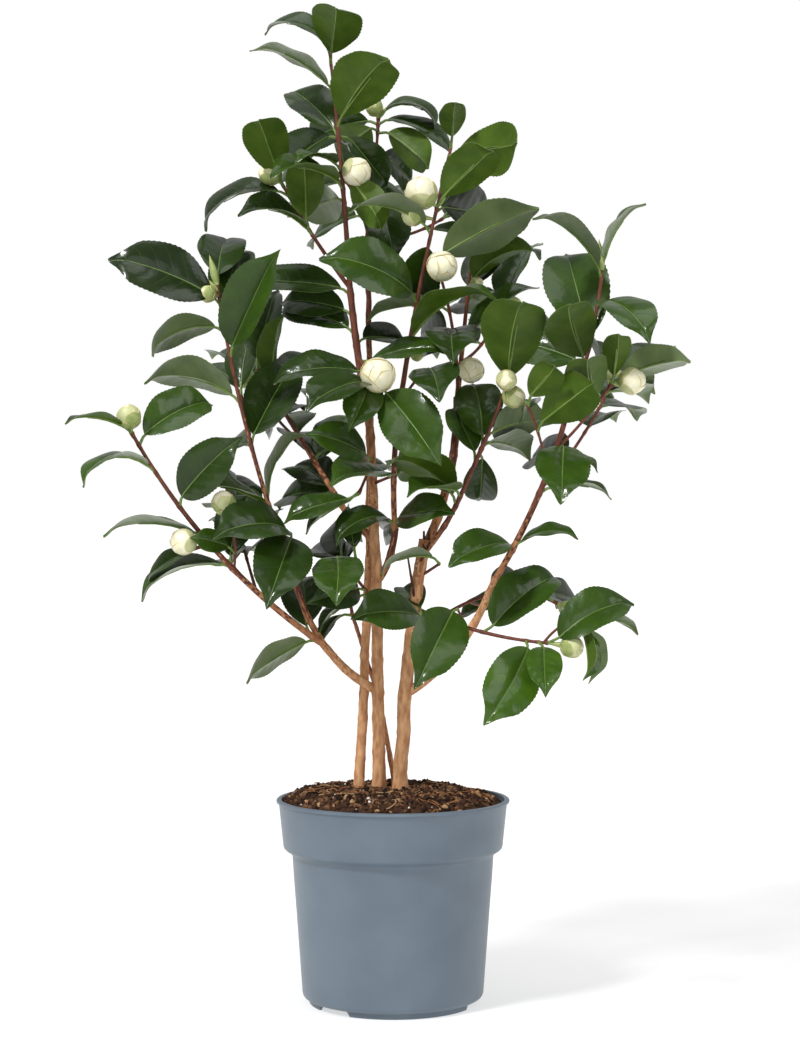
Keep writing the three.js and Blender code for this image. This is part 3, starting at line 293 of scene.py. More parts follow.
SHOOTS["shoot_thin"] = [
    grow("stem_thin", 1, (-34, 40, 285), (0, 0, 0), (1.2, 0.9), [
        (0.02, 236, 30, 60, 28, 40), (1, 80, -60, 60, 60, 30), (0.9, 170, -65, 60, 60, 30),
        (0.8, 60, -70, 60, 58, 30),
    ]),
]


# ---- small vector kit ----
def vec(*values):
    return np.array(values, float)


def size(a):
    return float(np.linalg.norm(a))


def unit(a):
    a = np.asarray(a, float)
    return a / np.linalg.norm(a)


def chance(seed, k):
    """A number from 0 to 1 that always comes out the same."""
    x = math.sin(seed * 12.9898 + k * 78.233) * 43758.5453
    return x - math.floor(x)


def smooth(low, high, x):
    """A soft step from 0 at low to 1 at high."""
    t = np.clip((x - low) / (high - low), 0, 1)
    return t * t * (3 - 2 * t)


# ---- curves ----
def spot(limb, t):
    """Point on a limb at a fraction of its length."""
    start, end, bow = (vec(*limb[k]) for k in ("from", "to", "bow"))
    return start + (end - start) * t + bow * 4 * t * (1 - t)


def heading(limb, t):
    return unit(vec(*limb["to"]) - vec(*limb["from"]) + vec(*limb["bow"]) * (4 - 8 * t))


def girth(limb, t):
    flare = limb.get("flare", 0) * max(0, 1 - t * 9) ** 2
    return limb["radii"][0] + (limb["radii"][1] - limb["radii"][0]) * t + flare


def reach(limb):
    return size(vec(*limb["to"]) - vec(*limb["from"]))


# ---- the lie of every limb, shoot, leaf and bud, by the source's rule ----
def lay_limbs():
    """Stems and boughs with their starts."""
    limbs = dict(STEMS)
    for name, row in BOUGHS.items():
        limbs[name] = {**row, "from": spot(limbs[row["on"]], row["at"])}
    return limbs


def lay_twigs(limbs):
    """Every twig with its start. One on a limb's tip starts a millimetre back inside the limb."""
    twigs = []
    for shoot, rows in SHOOTS.items():
        own = []
        for row in rows:
            on_limb = isinstance(row["on"], str)
            parent = limbs[row["on"]] if on_limb else own[row["on"]]
            back = 1 if row["at"] == 1 and on_limb else 0
            start = spot(parent, row["at"]) - heading(parent, row["at"]) * back
            own.append({**row, "from": start, "shoot": shoot})
        twigs += own
    return twigs


def blade_ways(clock, lean, turn):
    """The way a blade points and the way of its upper face."""
    c, tilt, r = (math.radians(a) for a in (clock, lean, turn))
    along = vec(math.cos(c) * math.cos(tilt), -math.sin(tilt), math.sin(c) * math.cos(tilt))
    front = vec(-math.sin(tilt) * math.cos(c), -math.cos(tilt), -math.sin(tilt) * math.sin(c))
    side = 1 if math.cos(c) >= 0 else -1
    up = vec(-math.sin(c) * side, 0, math.cos(c) * side)
    return along, front * math.cos(r) + up * math.sin(r)


def lay_blade(twig, row, number, aside):
    """A leaf's blade as its row gives it, leaning aside by some degrees."""
    at, clock, lean, turn, length, curl = row[:6]
    along, face = blade_ways(clock, lean + aside, turn)
    seed = number + 1
    fold = row[6] if len(row) > 6 else LEAF.fold + 16 * (chance(seed, 2) - 0.5)
    bend = math.radians(max(curl, 1))
    start = along * math.cos(bend / 2) + face * math.sin(bend / 2)
    stalk = unit(start + heading(twig, at) * 0.6)
    site = spot(twig, at)
    return {
        "shoot": twig["shoot"], "along": along, "face": face, "length": length, "seed": seed,
        "bend": bend, "breadth": length * (LEAF.breadth + 0.06 * (chance(seed, 1) - 0.5)),
        "fold": math.radians(fold), "site": site, "stalk": stalk, "base": site + stalk * PETIOLE,
    }


def midrib(blade, s):
    """Point on the midrib at s (0 base, 1 tip), with the blade's own up there."""
    bend, length = blade["bend"], blade["length"]
    a = bend * (0.5 - s)
    x = length * (math.sin(bend / 2) - math.sin(a)) / bend
    y = length * (math.cos(a) - math.cos(bend / 2)) / bend
    up = blade["face"] * math.cos(a) - blade["along"] * math.sin(a)
    return blade["base"] + blade["along"] * x + blade["face"] * y, up


def sheet(blade):
    """The source's blade as corners and triangles."""
    right = np.cross(blade["along"], blade["face"])
    corners = [blade["base"]]
    for s, wide in STATIONS:
        point, up = midrib(blade, s)
        half = blade["breadth"] * wide / 2
        lift = up * half * math.sin(blade["fold"])
        out = right * half * math.cos(blade["fold"])
        corners += [point - out + lift, point, point + out + lift]
    corners.append(midrib(blade, 1)[0])
    faces = [(0, 3, 2), (0, 2, 1)]
    for i in range(1, 3 * len(STATIONS) - 3, 3):
        faces += [(i, i + 1, i + 4), (i, i + 4, i + 3), (i + 1, i + 2, i + 5), (i + 1, i + 5, i + 4)]
    last = len(corners) - 1
    faces += [(last - 3, last - 2, last), (last - 2, last - 1, last)]
    corners = np.array(corners)
    return corners, corners[np.array(faces)]


# ---- keeping blades clear of what is already there ----
def distances(points, triangles):
    """Distance of every point from every triangle."""
    p = points[:, None, :]
    corners = [triangles[None, :, i, :] for i in range(3)]
    normal = np.cross(corners[1] - corners[0], corners[2] - corners[0])
    normal /= np.linalg.norm(normal, axis=2, keepdims=True)
    plane = np.abs(((p - corners[0]) * normal).sum(2))
    inside = np.ones(plane.shape, bool)
    edge_gap = np.full(plane.shape, 1e9)
    for i in range(3):
        a, b = corners[i], corners[(i + 1) % 3]
        way = b - a
        inside &= (np.cross(np.broadcast_to(way, (p - a).shape), p - a) * normal).sum(2) >= 0
        t = np.clip(((p - a) * way).sum(2) / (way * way).sum(2), 0, 1)
        edge_gap = np.minimum(edge_gap, np.linalg.norm(p - a - way * t[..., None], axis=2))
    return np.where(inside, plane, edge_gap)


def any_pierces(one, two):
    """True where an edge of the first triangles goes through one of the second."""
    p = one[:, [0, 1, 2], :].reshape(-1, 1, 3)
    way = one[:, [1, 2, 0], :].reshape(-1, 1, 3) - p
    a = two[None, :, 0, :]
    e1, e2 = two[None, :, 1, :] - a, two[None, :, 2, :] - a
    h = np.cross(way, e2)
    det = (e1 * h).sum(2)
    safe = np.where(np.abs(det) < 1e-9, 1, det)
    s = p - a
    u = (s * h).sum(2) / safe
    k = np.cross(s, e1)
    v = (way * k).sum(2) / safe
    t = (e2 * k).sum(2) / safe
    hit = (np.abs(det) >= 1e-9) & (u >= 0) & (v >= 0) & (u + v <= 1) & (t >= 0) & (t <= 1)
    return bool(hit.any())


def sheets_meet(a, b, apart):
    """True where two blades cross, or, if they must stay apart, come too near."""
    if any_pierces(a[1], b[1]) or any_pierces(b[1], a[1]):
        return True
    if not apart:
        return False
    return bool((distances(a[0], b[1]) < BLADE_GAP).any() or (distances(b[0], a[1]) < BLADE_GAP).any())


def stand(blade):
    """A blade with the measures that tell whether it stands free."""
    centre = midrib(blade, 0.5)[0]
    return {"blade": blade, "shape": sheet(blade), "centre": centre, "span": SPAN * blade["length"]}


def is_free(leaf, balls, placed):
    """True where a leaf clears the limbs, twigs and buds, and every leaf placed before it."""
    blade, shape, centre, span = leaf["blade"], leaf["shape"], leaf["centre"], leaf["span"]
    radius = balls["radius"]
    near = np.linalg.norm(balls["centre"] - centre, axis=1) <= span + radius + BALL_GAP
    own = balls["limb"] | (balls["shoot"] == blade["shoot"])
    by_base = np.linalg.norm(balls["centre"] - blade["base"], axis=1) < radius + PETIOLE + 1
    near &= ~(own & by_base)
    if near.any() and (distances(balls["centre"][near], shape[1]).min(1) < radius[near] + BALL_GAP).any():
        return False
    for other in placed:
        if size(other["centre"] - centre) > span + other["span"]:
            continue
        if sheets_meet(shape, other["shape"], other["blade"]["shoot"] != blade["shoot"]):
            return False
    return True


def lay_bud(twig, row):
    """A bud as its row gives it."""
    at, clock, lean, radius, stalk = row
    along, _ = blade_ways(clock, lean, 0)
    site = spot(twig, at)
    return {
        "shoot": twig["shoot"], "along": along, "site": site, "radius": radius,
        "centre": site + along * (radius + stalk),
    }


def balls_along(limb, shoot):
    """Balls that fill a limb, each with the shoot it belongs to."""
    count = math.ceil(reach(limb) / BALL_STEP)
    return [(spot(limb, i / count), girth(limb, i / count), shoot) for i in range(count + 1)]


def lay_leaves(limbs, twigs):
    """Buds, and blades that lean aside until they stand free."""
    buds = [lay_bud(twig, row) for twig in twigs for row in twig["buds"]]
    rows = [ball for limb in limbs.values() for ball in balls_along(limb, "")]
    rows += [ball for twig in twigs for ball in balls_along(twig, twig["shoot"])]
    rows += [(bud["centre"], bud["radius"], bud["shoot"]) for bud in buds]
    shoots = np.array([row[2] for row in rows])
    balls = {
        "centre": np.array([row[0] for row in rows]), "radius": np.array([row[1] for row in rows]),
        "shoot": shoots, "limb": shoots == "",
    }
    placed = []
    number = 0
    for twig in twigs:
        for row in twig["leaves"]:
            for aside in ASIDE:
                leaf = stand(lay_blade(twig, row, number, aside))
                if is_free(leaf, balls, placed):
                    placed.append(leaf)
                    break
            number += 1
    return buds, [leaf["blade"] for leaf in placed]


# ---- meshes ----
def place(name, data):
    """A new object in the scene."""
    new = bpy.data.objects.new(name, data)
    bpy.context.scene.collection.objects.link(new)
    return new


class Heap:
    """Vertices and faces gathered into one piece, each face with its material."""

    def __init__(self):
        self.points = []
        self.faces = []
        self.paints = []
        self.count = 0

    def add(self, points, faces, paint):
        """Adds faces that count from these points. paint is one number, or one for each face."""
        points = np.asarray(points, float).reshape(-1, 3)
        faces = np.asarray(faces, int)
        self.points.append(points)
        self.faces.append(faces + self.count)
        self.paints.append(np.broadcast_to(np.asarray(paint, int), (len(faces),)))
        self.count += len(points)

    def merge(self, other):
        """Takes in all that another heap holds."""
        self.points += other.points
        self.faces += [block + self.count for block in other.faces]
        self.paints += other.paints
        self.count += other.count

    def triangles(self):
        return sum(len(f) * (f.shape[1] - 2) for f in self.faces)

    def piece(self, name, materials, nodes, slot):
        """Makes the heap one object, in place of the given nodes."""
        mesh = bpy.data.meshes.new(name)
        faces = [list(map(int, face)) for block in self.faces for face in block]
        mesh.from_pydata((np.vstack(self.points) * UNIT).tolist(), [], faces)
        for material in materials:
            mesh.materials.append(material)
        mesh.polygons.foreach_set("material_index", np.concatenate(self.paints).astype(np.int32))
        mesh.polygons.foreach_set("use_smooth", np.ones(len(faces), bool))
        mesh.update()
        piece = place(name, mesh)
        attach(piece, "root")
        if nodes:
            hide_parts(*nodes)
        return piece


def grid_faces(rows, columns, closed=False):
    """Quads of a grid of points; closed joins the last column to the first."""
    last = columns if closed else columns - 1
    i, j = np.meshgrid(np.arange(rows - 1), np.arange(last), indexing="ij")
    k = (j + 1) % columns
    corners = [i * columns + j, i * columns + k, (i + 1) * columns + k, (i + 1) * columns + j]
    return np.stack([c.ravel() for c in corners], 1)


def border(rows, columns, closed=False):
    """Numbers of a grid's points round its edge. Only a closed one takes in the first row."""
    edge = [i * columns for i in range(rows)]
    edge += [(rows - 1) * columns + j for j in range(1, columns)]
    edge += [i * columns + columns - 1 for i in range(rows - 2, -1, -1)]
    if closed:
        edge += list(range(columns - 2, 0, -1))
    return np.array(edge)


def frames_along(path):
    """Two directions across a path at each of its points, that don't spin as it bends."""
    ways = np.gradient(path, axis=0)
    ways /= np.linalg.norm(ways, axis=1, keepdims=True)
    side = vec(1, 0, 0) if abs(ways[0][2]) > 0.9 else vec(0, 0, 1)
    sides = []
    for way in ways:
        side = unit(side - way * side.dot(way))
        sides.append(side)
    sides = np.array(sides)
    return sides, np.cross(ways, sides)


def bark_rise(p):
    """How far bark stands out at a place, in mm: lumps, upright plates and fine grain."""
    lumps = noise.noise(Vector(p) * 0.16)
    plates = noise.noise(Vector((p[0] * 0.9, p[1] * 0.9, p[2] * 0.22)))
    grain = noise.noise(Vector((p[0] * 2.1, p[1] * 2.1, p[2] * 0.7)))
    return 0.35 * lumps + 0.36 * abs(plates) + 0.2 * grain


def tube_points(path, radii, sides, relief):
    """Rings round a path. relief is the strength of the bark on them."""
    one, two = frames_along(path)
    angles = 2 * math.pi * np.arange(sides) / sides
    out = one[:, None, :] * np.cos(angles)[None, :, None]
    out = out + two[:, None, :] * np.sin(angles)[None, :, None]
    points = path[:, None, :] + out * np.asarray(radii)[:, None, None]
    if relief:
        rise = relief * np.array([[bark_rise(p) for p in ring] for ring in points])
        points = points + out * rise[..., None]
    return points


def add_tube(heap, path, radii, sides, paint, relief=0):
    """A tube closed at both ends. paint may be one number, or one for each of its faces."""
    path = np.asarray(path, float)
    rings = len(path)
    first = heap.count
    heap.add(tube_points(path, radii, sides, relief), grid_faces(rings, sides, closed=True), paint)
    for ring, centre in ((0, path[0]), (rings - 1, path[-1])):
        near = first + ring * sides - heap.count
        fan = [(near + k, near + (k + 1) % sides, 0) for k in range(sides)]
        heap.add(centre, fan, paint[0] if np.ndim(paint) else paint)


# ---- materials ----
COAT_ROUGHNESS = 0.14
WHITE = (1, 1, 1, 1)


def fill(tree, one, inputs):
    """Sets a node's inputs, each to a value or to the output of another node."""
    for key, value in inputs.items():
        if isinstance(value, bpy.types.NodeSocket):
            tree.links.new(value, one.inputs[key])
        else:
            one.inputs[key].default_value = value


def node(tree, kind, inputs=None):
    """A new node with its inputs set."""
    new = tree.nodes.new("ShaderNode" + kind)
    fill(tree, new, inputs or {})
    return new


def srgb(red, green, blue):
    """A colour given as 0 to 255 on screen."""
    values = [v / 255 for v in (red, green, blue)]
    return tuple(v / 12.92 if v <= 0.04045 else ((v + 0.055) / 1.055) ** 2.4 for v in values)


def finish(
    name, low, high, grain, roughness, bump=(0, 0), specular=0.5, coat=0.0, stretch=(1, 1, 1), sheen=0.0
):
    """A surface mottled between two colours. grain and bump, its size and height, are in mm."""
    material = bpy.data.materials.new(name)
    material.use_nodes = True
    tree = material.node_tree
    shader = tree.nodes["Principled BSDF"]
    spot_on_piece = node(tree, "TexCoord").outputs["Object"]
    scaled = node(tree, "Mapping", {"Vector": spot_on_piece, "Scale": stretch}).outputs["Vector"]
    mottle = node(tree, "TexNoise", {"Vector": scaled, "Scale": 1 / (grain * UNIT), "Detail": 4})
    ramp = node(tree, "ValToRGB", {"Fac": mottle.outputs["Fac"]})
    for stop, position, colour in zip(ramp.color_ramp.elements, (0.35, 0.65), (low, high)):
        stop.position = position
        stop.color = (*srgb(*colour), 1)
    fill(tree, shader, {
        "Base Color": ramp.outputs["Color"], "Roughness": roughness, "Specular IOR Level": specular,
        "Coat Weight": coat, "Coat Roughness": COAT_ROUGHNESS, "Sheen Weight": sheen,
    })
    if bump[0]:
        fine = node(tree, "TexNoise", {"Vector": scaled, "Scale": 1 / (bump[0] * UNIT), "Detail": 3})
        relief = {"Height": fine.outputs["Fac"], "Strength": 0.6, "Distance": bump[1] * UNIT}
        normal = node(tree, "Bump", relief).outputs["Normal"]
        fill(tree, shader, {"Normal": normal, "Coat Normal": normal})
    return material


# ---- bark, boughs and twigs ----
BARK_STEP = 1.5  # mm between the rings of a stem
BARK_SIDES = 22
KNOT_STEP = 21  # mm between the knots of a stem or bough
SWAY = (0.9, 26)  # mm a limb strays from its curve, and over what length
SUNK, RUN_ON = 1.2, 1.5  # mm a bough's foot is sunk in its parent, and a limb runs on past its tip
LIMB_KNOT, TWIG_KNOT = (0.28, 1.8), (0.35, 1.6)  # mm high and wide
TWIG_STEP = 2.2
TWIG_SIDES = 9
STEM_RELIEF, BOUGH_RELIEF, STUB_RELIEF, TWIG_RELIEF = 0.75, 0.45, 0.2, 0.16  # strengths of the bark's relief
LONG = (1, 1, 0.3)  # stretches the bark's pattern upwards
BARK_TONES = {"old": 0, "brown": 1, "red": 2, "dark": 3}
BARK_YOUTH = {  # how young the bark is at a limb's foot, and what is added towards its tip
    "stem_left": (0.2, 1.5), "stem_middle": (0.1, 0.9), "stem_right": (0.1, 0.8),
    "stem_thin": (0.8, 0.6), "bough_low_left": (0.5, 0.5), "bough_right": (0.3, 0.45),
}
YOUNG_BOUGH = (1.0, 0.7)
BROWN_FROM, RED_FROM = 0.85, 1.35


def knots(t, length, sites, knot):
    """Swelling at places along a limb, in mm."""
    height, wide = knot
    return sum(height * math.exp(-(((t - site) * length / wide) ** 2)) for site in sites)


def bark_tone(name, t, point, side):
    """Old bark on the stems turns brown, then red, along the younger boughs, in patches."""
    foot, gain = BARK_YOUTH.get(name, YOUNG_BOUGH)
    youth = foot + gain * t
    patch = Vector((point[0] + 9 * side, point[1] * 0.5, point[2] * 0.12))
    streak = Vector((side * 0.7, point[0], point[2] * 0.35))
    youth += 0.35 * noise.noise(patch * 0.5) + 0.25 * noise.noise(streak)
    if youth < BROWN_FROM:
        return BARK_TONES["old"]
    return BARK_TONES["brown"] if youth < RED_FROM else BARK_TONES["red"]


def add_limb(heap, name, limb):
    """A stem or bough that sways a little, with knots and rough bark."""
    length = reach(limb)
    is_stem = name in STEMS
    seed = len(name) * 1.7
    stray, wave = SWAY
    start = 0 if is_stem else -SUNK / length
    steps = np.linspace(start, 1 + RUN_ON / length, math.ceil(length / BARK_STEP))
    places = range(1, int(length / KNOT_STEP) + 1)
    sites = [(i + 0.35 * chance(i + seed, 3)) * KNOT_STEP / length for i in places]
    path = []
    radii = []
    for t in steps:
        along = t * length / wave
        sway = vec(noise.noise(Vector((along, seed, 0))), noise.noise(Vector((along, 0, seed))), 0)
        path.append(spot(limb, t) + sway * stray * smooth(0, 0.1, t) * smooth(0, 0.1, 1 - t))
        radii.append(girth(limb, min(max(t, 0), 1)) + knots(t, length, sites, LIMB_KNOT))
    tones = [
        bark_tone(name, t, point, side)
        for t, point in zip(steps[:-1], path)
        for side in range(BARK_SIDES)
    ]
    add_tube(heap, path, radii, BARK_SIDES, tones, STEM_RELIEF if is_stem else BOUGH_RELIEF)


def twig_tone(young, t, i, side):
    """A twig that carries on a limb is brown at its foot, in patches, and every other one is red."""
    brown = young and t + 0.5 * (chance(i * 5 + side, 5) - 0.5) < 0.3
    return BARK_TONES["brown" if brown else "red"]


def add_twig(heap, twig):
    """A twig, a little thicker where a leaf or a bud sits."""
    length = reach(twig)
    steps = np.linspace(0, 1, max(4, math.ceil(length / TWIG_STEP)))
    sites = [row[0] for row in [*twig["leaves"], *twig["buds"]]]
    path = [spot(twig, t) for t in steps]
    radii = [girth(twig, t) * 0.97 + knots(t, length, sites, TWIG_KNOT) for t in steps]
    young = isinstance(twig["on"], str) and twig["radii"][0] > 1.6
    tones = [twig_tone(young, t, i, side) for i, t in enumerate(steps[:-1]) for side in range(TWIG_SIDES)]
    add_tube(heap, path, radii, TWIG_SIDES, tones, TWIG_RELIEF)


# ---- leaves ----
LEAF_ROWS = 44  # along a blade, two to each tooth of its edge
LEAF_COLUMNS = [0.03, 0.2, 0.38, 0.56, 0.74, 0.9, 1.0]  # across half a blade, from the rib out
RIB_WIDTH = [0.5, 0.16]  # mm from the middle of the rib to its edge, at the base and the tip
VEINS = 7  # side veins to each half
VEIN_WIDTH = 0.13  # mm, half a side vein at the rib
# The underside's lighter copy in this list is painted light: it goes on blades that lie level and to the
# side, as if lit from the floor.
RIB, UNDER, UNDER_RIB, STALK, EDGE, VEIN, PAINTED_LIGHT_UNDER, FIRST_TONE = range(8)
# Tones of the upper face, dealt out partly by place as painted light and shade, and partly by chance.
TONES = ("deep", "dark", "mid", "bright", "lime")
LEAF_PIECE = 190000  # triangles to one piece of leaves
TOOTH = 0.028  # depth of a tooth as a share of half the breadth
VEIN_LIFT = 0.26  # mm from a blade's face to its side veins
VEIN_SPAN = (0.04, 0.86)  # across half a blade
SIDE_BOW = 0.06  # most the rib bows to a side, from one way to the other, as a share of the length
CUP = math.radians(9)  # how much steeper the halves rise at the rib than the fold gives
WAVE = 0.016  # height of the waves at the edge, as a share of the length
TWIST = math.radians(7)  # most that a blade is twisted, from one way to the other
STALK_RADII = (1.15, 0.95, 0.9, 0.85, 0.7, 0.55, 0.42, 0.3)  # mm, from the twig to under the rib
QUILT = (0.25, 0.35)  # mm that the face swells between side veins: least, and what chance adds
GROOVE = 0.22  # mm the rib lies below the face
TIP_DROP = 0.06  # how far the tip hangs, as a share of the length
THIN = 0.35  # share of its thickness that a blade keeps at the edge
LEVEL = 0.35  # rise of the upper face's way, from which a blade gets the underside's lighter copy, painted light
ASTRAY = 0.5  # how far towards the front a blade with that painted light below may point


def half_width(s, widest):
    """Half the breadth of a blade at s, 1 at its widest: a round base and a drawn-out tip."""
    a, b = 1.5 * widest, 1.5 * (1 - widest)
    body = np.clip(s, 0, 1) ** a * np.clip(1 - s, 0, 1) ** b / (widest**a * (1 - widest) ** b)
    return body * (1 - 0.46 * smooth(0.74, 0.95, s))


def blade_points(blade, s, across, offset):
    """Points on a blade at s along it and at -1 to 1 across it, raised by offset off its face."""
    s, across = np.broadcast_arrays(s, across)
    u = np.abs(across)
    on_right = across > 0
    seed, bend, length = blade["seed"], blade["bend"], blade["length"]
    turn = bend * (0.5 - s)[..., None]
    up = blade["face"] * np.cos(turn) - blade["along"] * np.sin(turn)
    spine = blade["base"] + blade["along"] * length * (math.sin(bend / 2) - np.sin(turn)) / bend
    spine = spine + blade["face"] * length * (np.cos(turn) - math.cos(bend / 2)) / bend
    right = np.cross(blade["along"], blade["face"])
    spine = spine + right * (SIDE_BOW * length * (chance(seed, 11) - 0.5) * np.sin(math.pi * s))[..., None]
    half = blade_half(blade, s)
    fold = blade["fold"] + CUP
    camber = math.sin(fold) - math.sin(blade["fold"])
    wide = half * across * math.cos(blade["fold"])
    rise = half * (math.sin(fold) * u - camber * u * u)
    wave = np.sin(2 * math.pi * ((1.4 + chance(seed, 5)) * s + chance(seed, 4)) + on_right * 1.9)
    rise = rise + WAVE * length * wave * u * u * smooth(0.05, 0.3, s)
    rise = rise + wide * np.tan(TWIST * (chance(seed, 6) - 0.5) * (2 * s - 1))
    quilt = np.abs(np.sin(math.pi * VEINS * (s - vein_sweep(u)) + 0.8 * on_right)) ** 0.7
    envelope = (1 - u**3) * smooth(0.02, 0.2, u) * smooth(0.02, 0.12, s) * smooth(0.03, 0.2, 1 - s)
    rise = rise + (QUILT[0] + QUILT[1] * chance(seed, 8)) * quilt * envelope
    rise = rise - GROOVE * (u < 0.02) - TIP_DROP * length * smooth(0.74, 1, s) ** 2
    rise = rise + offset * (THIN + (1 - THIN) * (1 - u**2))
    return spine + right * wide[..., None] + up * rise[..., None]


def blade_half(blade, s):
    """Half a blade's breadth at s, in mm."""
    widest = 0.43 + 0.1 * chance(blade["seed"], 10)
    return np.maximum(half_width(s, widest) * blade["breadth"] / 2, 0.35)


def vein_sweep(u):
    """How far along the blade a side vein has swept, at u from the rib to the edge."""
    return 0.13 * u + 0.07 * u * u


def add_leaf(heap, blade, tone):
    """A blade with both faces, an edge of fine teeth, side veins and a stalk."""
    s = np.linspace(0, 1, LEAF_ROWS)[:, None]
    across = np.array([-u for u in reversed(LEAF_COLUMNS)] + [0.0] + LEAF_COLUMNS)[None, :]
    teeth = np.where(np.arange(LEAF_ROWS) % 2 == 0, 0.0, TOOTH)[:, None] * smooth(0.08, 0.2, s)
    grid = across * (1 - teeth * (np.abs(across) == 1))
    ribs = np.minimum(np.interp(s, [0, 1], RIB_WIDTH) / blade_half(blade, s), 0.5)
    grid = np.where(np.abs(across) == LEAF_COLUMNS[0], np.sign(across) * ribs, grid)
    top = blade_points(blade, s, grid, 0)
    under = blade_points(blade, s, grid, -LEAF.thick)
    columns = top.shape[1]
    faces = grid_faces(LEAF_ROWS, columns)
    column = np.tile(np.arange(columns - 1), LEAF_ROWS - 1)
    middle = (columns - 1) // 2
    is_rib = (column == middle - 1) | (column == middle)
    # Blades that lie level and don't point to the front get the underside's lighter copy with sheen: painted
    # light, as from the floor.
    gets_painted_light = blade["face"][2] > LEVEL and -blade["along"][1] < ASTRAY
    heap.add(top, faces[:, ::-1], np.where(is_rib, RIB, tone))
    heap.add(under, faces, np.where(is_rib, UNDER_RIB, PAINTED_LIGHT_UNDER if gets_painted_light else UNDER))
    index = border(LEAF_ROWS, columns, closed=True)
    ring = np.concatenate([top.reshape(-1, 3)[index], under.reshape(-1, 3)[index]])
    n = len(index)
    heap.add(ring, [(k, (k + 1) % n, n + (k + 1) % n, n + k) for k in range(n)], EDGE)
    add_veins(heap, blade)
    add_petiole(heap, blade)


def add_veins(heap, blade):
    """Pale threads along the side veins of the upper face."""
    u = np.linspace(*VEIN_SPAN, 7)
    for side in (-1, 1):
        for k in range(VEINS):
            s = (k + 0.5 - 0.25 * (side > 0)) / VEINS + vein_sweep(u) - 0.5 / VEINS
            inside = s < 0.93
            if k == 0 or inside.sum() < 4:
                continue
            half = VEIN_WIDTH * (1.15 - u[inside]) / blade["length"]
            edges = np.stack([s[inside] - half, s[inside] + half])
            points = blade_points(blade, edges, side * u[inside][None, :], VEIN_LIFT)
            faces = grid_faces(2, points.shape[1])
            heap.add(points, faces if side > 0 else faces[:, ::-1], VEIN)


def add_petiole(heap, blade):
    """The leaf's stalk, run on under the rib as far as it stands proud."""
    rib = [midrib(blade, t) for t in (0.04, 0.12, 0.25, 0.42, 0.6)]
    path = [blade["site"], blade["site"] + blade["stalk"] * 2.5, blade["base"] - blade["stalk"] * 2]
    path += [point - way * (GROOVE + LEAF.thick) for point, way in rib]
    fine = np.linspace(0, len(path) - 1, 15)
    coarse = np.arange(len(path))
    path = np.stack([np.interp(fine, coarse, line) for line in np.array(path).T], 1)
    add_tube(heap, path, np.interp(fine, coarse, STALK_RADII), 6, STALK)


# ---- buds ----
BUD_SCALES = 9
SCALE_GRID = 9
RIPE_RADIUS = 8.2  # mm, from which a bud shows its cream petals
CREAM, GREENISH, SEPAL, RIM = range(4)
GOLDEN = math.radians(137.5)  # turn from one scale to the next
SCALE_THICK = 0.35
SCALE_TOP = (0.93, 0.62)  # how far up the ball the first scale reaches, and how much less the last
SCALE_WIDE = (1.25, 0.35)  # half a scale's turn round the ball in radians, and how much less the last
SCALE_OUT = (0.94, 0.075)  # the first scale's radius as a share of the bud's, and what the last adds
GREEN_FROM = (0.6, -0.1)  # share of the scales above the green ones, on a ripe bud and on a young one
GREEN_BAND = 0.4  # share of the scales that are pale green, before those like sepals
BUD_STALK = (1.0, 1.1, 1.4, 1.9, 2.2)
SPEAR = 0.13  # thickness of a leaf bud as a share of its length


def bud_axes(along):
    """Two directions across a bud's axis."""
    spare = vec(1, 0, 0) if abs(along[2]) > 0.9 else vec(0, 0, 1)
    side = unit(np.cross(spare, along))
    return side, np.cross(along, side)


def add_scale(heap, centre, axes, radius, angle, top, wide, paint):
    """A cupped scale on the bud's ball: a round-topped patch that starts at its foot."""
    along, side, other = axes
    n = SCALE_GRID
    v = np.array([0, 0.15, 0.3, 0.45, 0.6, 0.74, 0.87, 0.96, 1])[:, None]
    u = np.array([-1, -0.94, -0.62, -0.3, 0, 0.3, 0.62, 0.94, 1])[None, :]
    polar = math.pi * (1 - top * v * (1 - 0.16 * u**2)) - 0.02
    spread = wide * (0.45 + 0.55 * np.sin(math.pi * (0.12 + 0.75 * v))) * u
    lift = radius * (1 + 0.03 * v**2 * (1 - 0.5 * u**2))
    around = angle + spread
    ball = (
        along * (np.cos(polar) * 1.04 + 0 * u)[..., None]
        + side * (np.sin(polar) * np.cos(around))[..., None]
        + other * (np.sin(polar) * np.sin(around))[..., None]
    )
    outer = centre + ball * lift[..., None]
    inner = centre + ball * (lift[..., None] - SCALE_THICK)
    faces = grid_faces(n, n)
    row, column = np.divmod(np.arange(len(faces)), n - 1)
    is_rim = (row == n - 2) | (((column == 0) | (column == n - 2)) & (row > n - 4))
    heap.add(outer, faces, np.where(is_rim, RIM, paint))
    heap.add(inner, faces[:, ::-1], paint)
    index = border(n, n)
    ring = np.concatenate([outer.reshape(-1, 3)[index], inner.reshape(-1, 3)[index]])
    m = len(index)
    heap.add(ring, [(k, k + m, k + 1 + m, k + 1) for k in range(m - 1)], RIM)


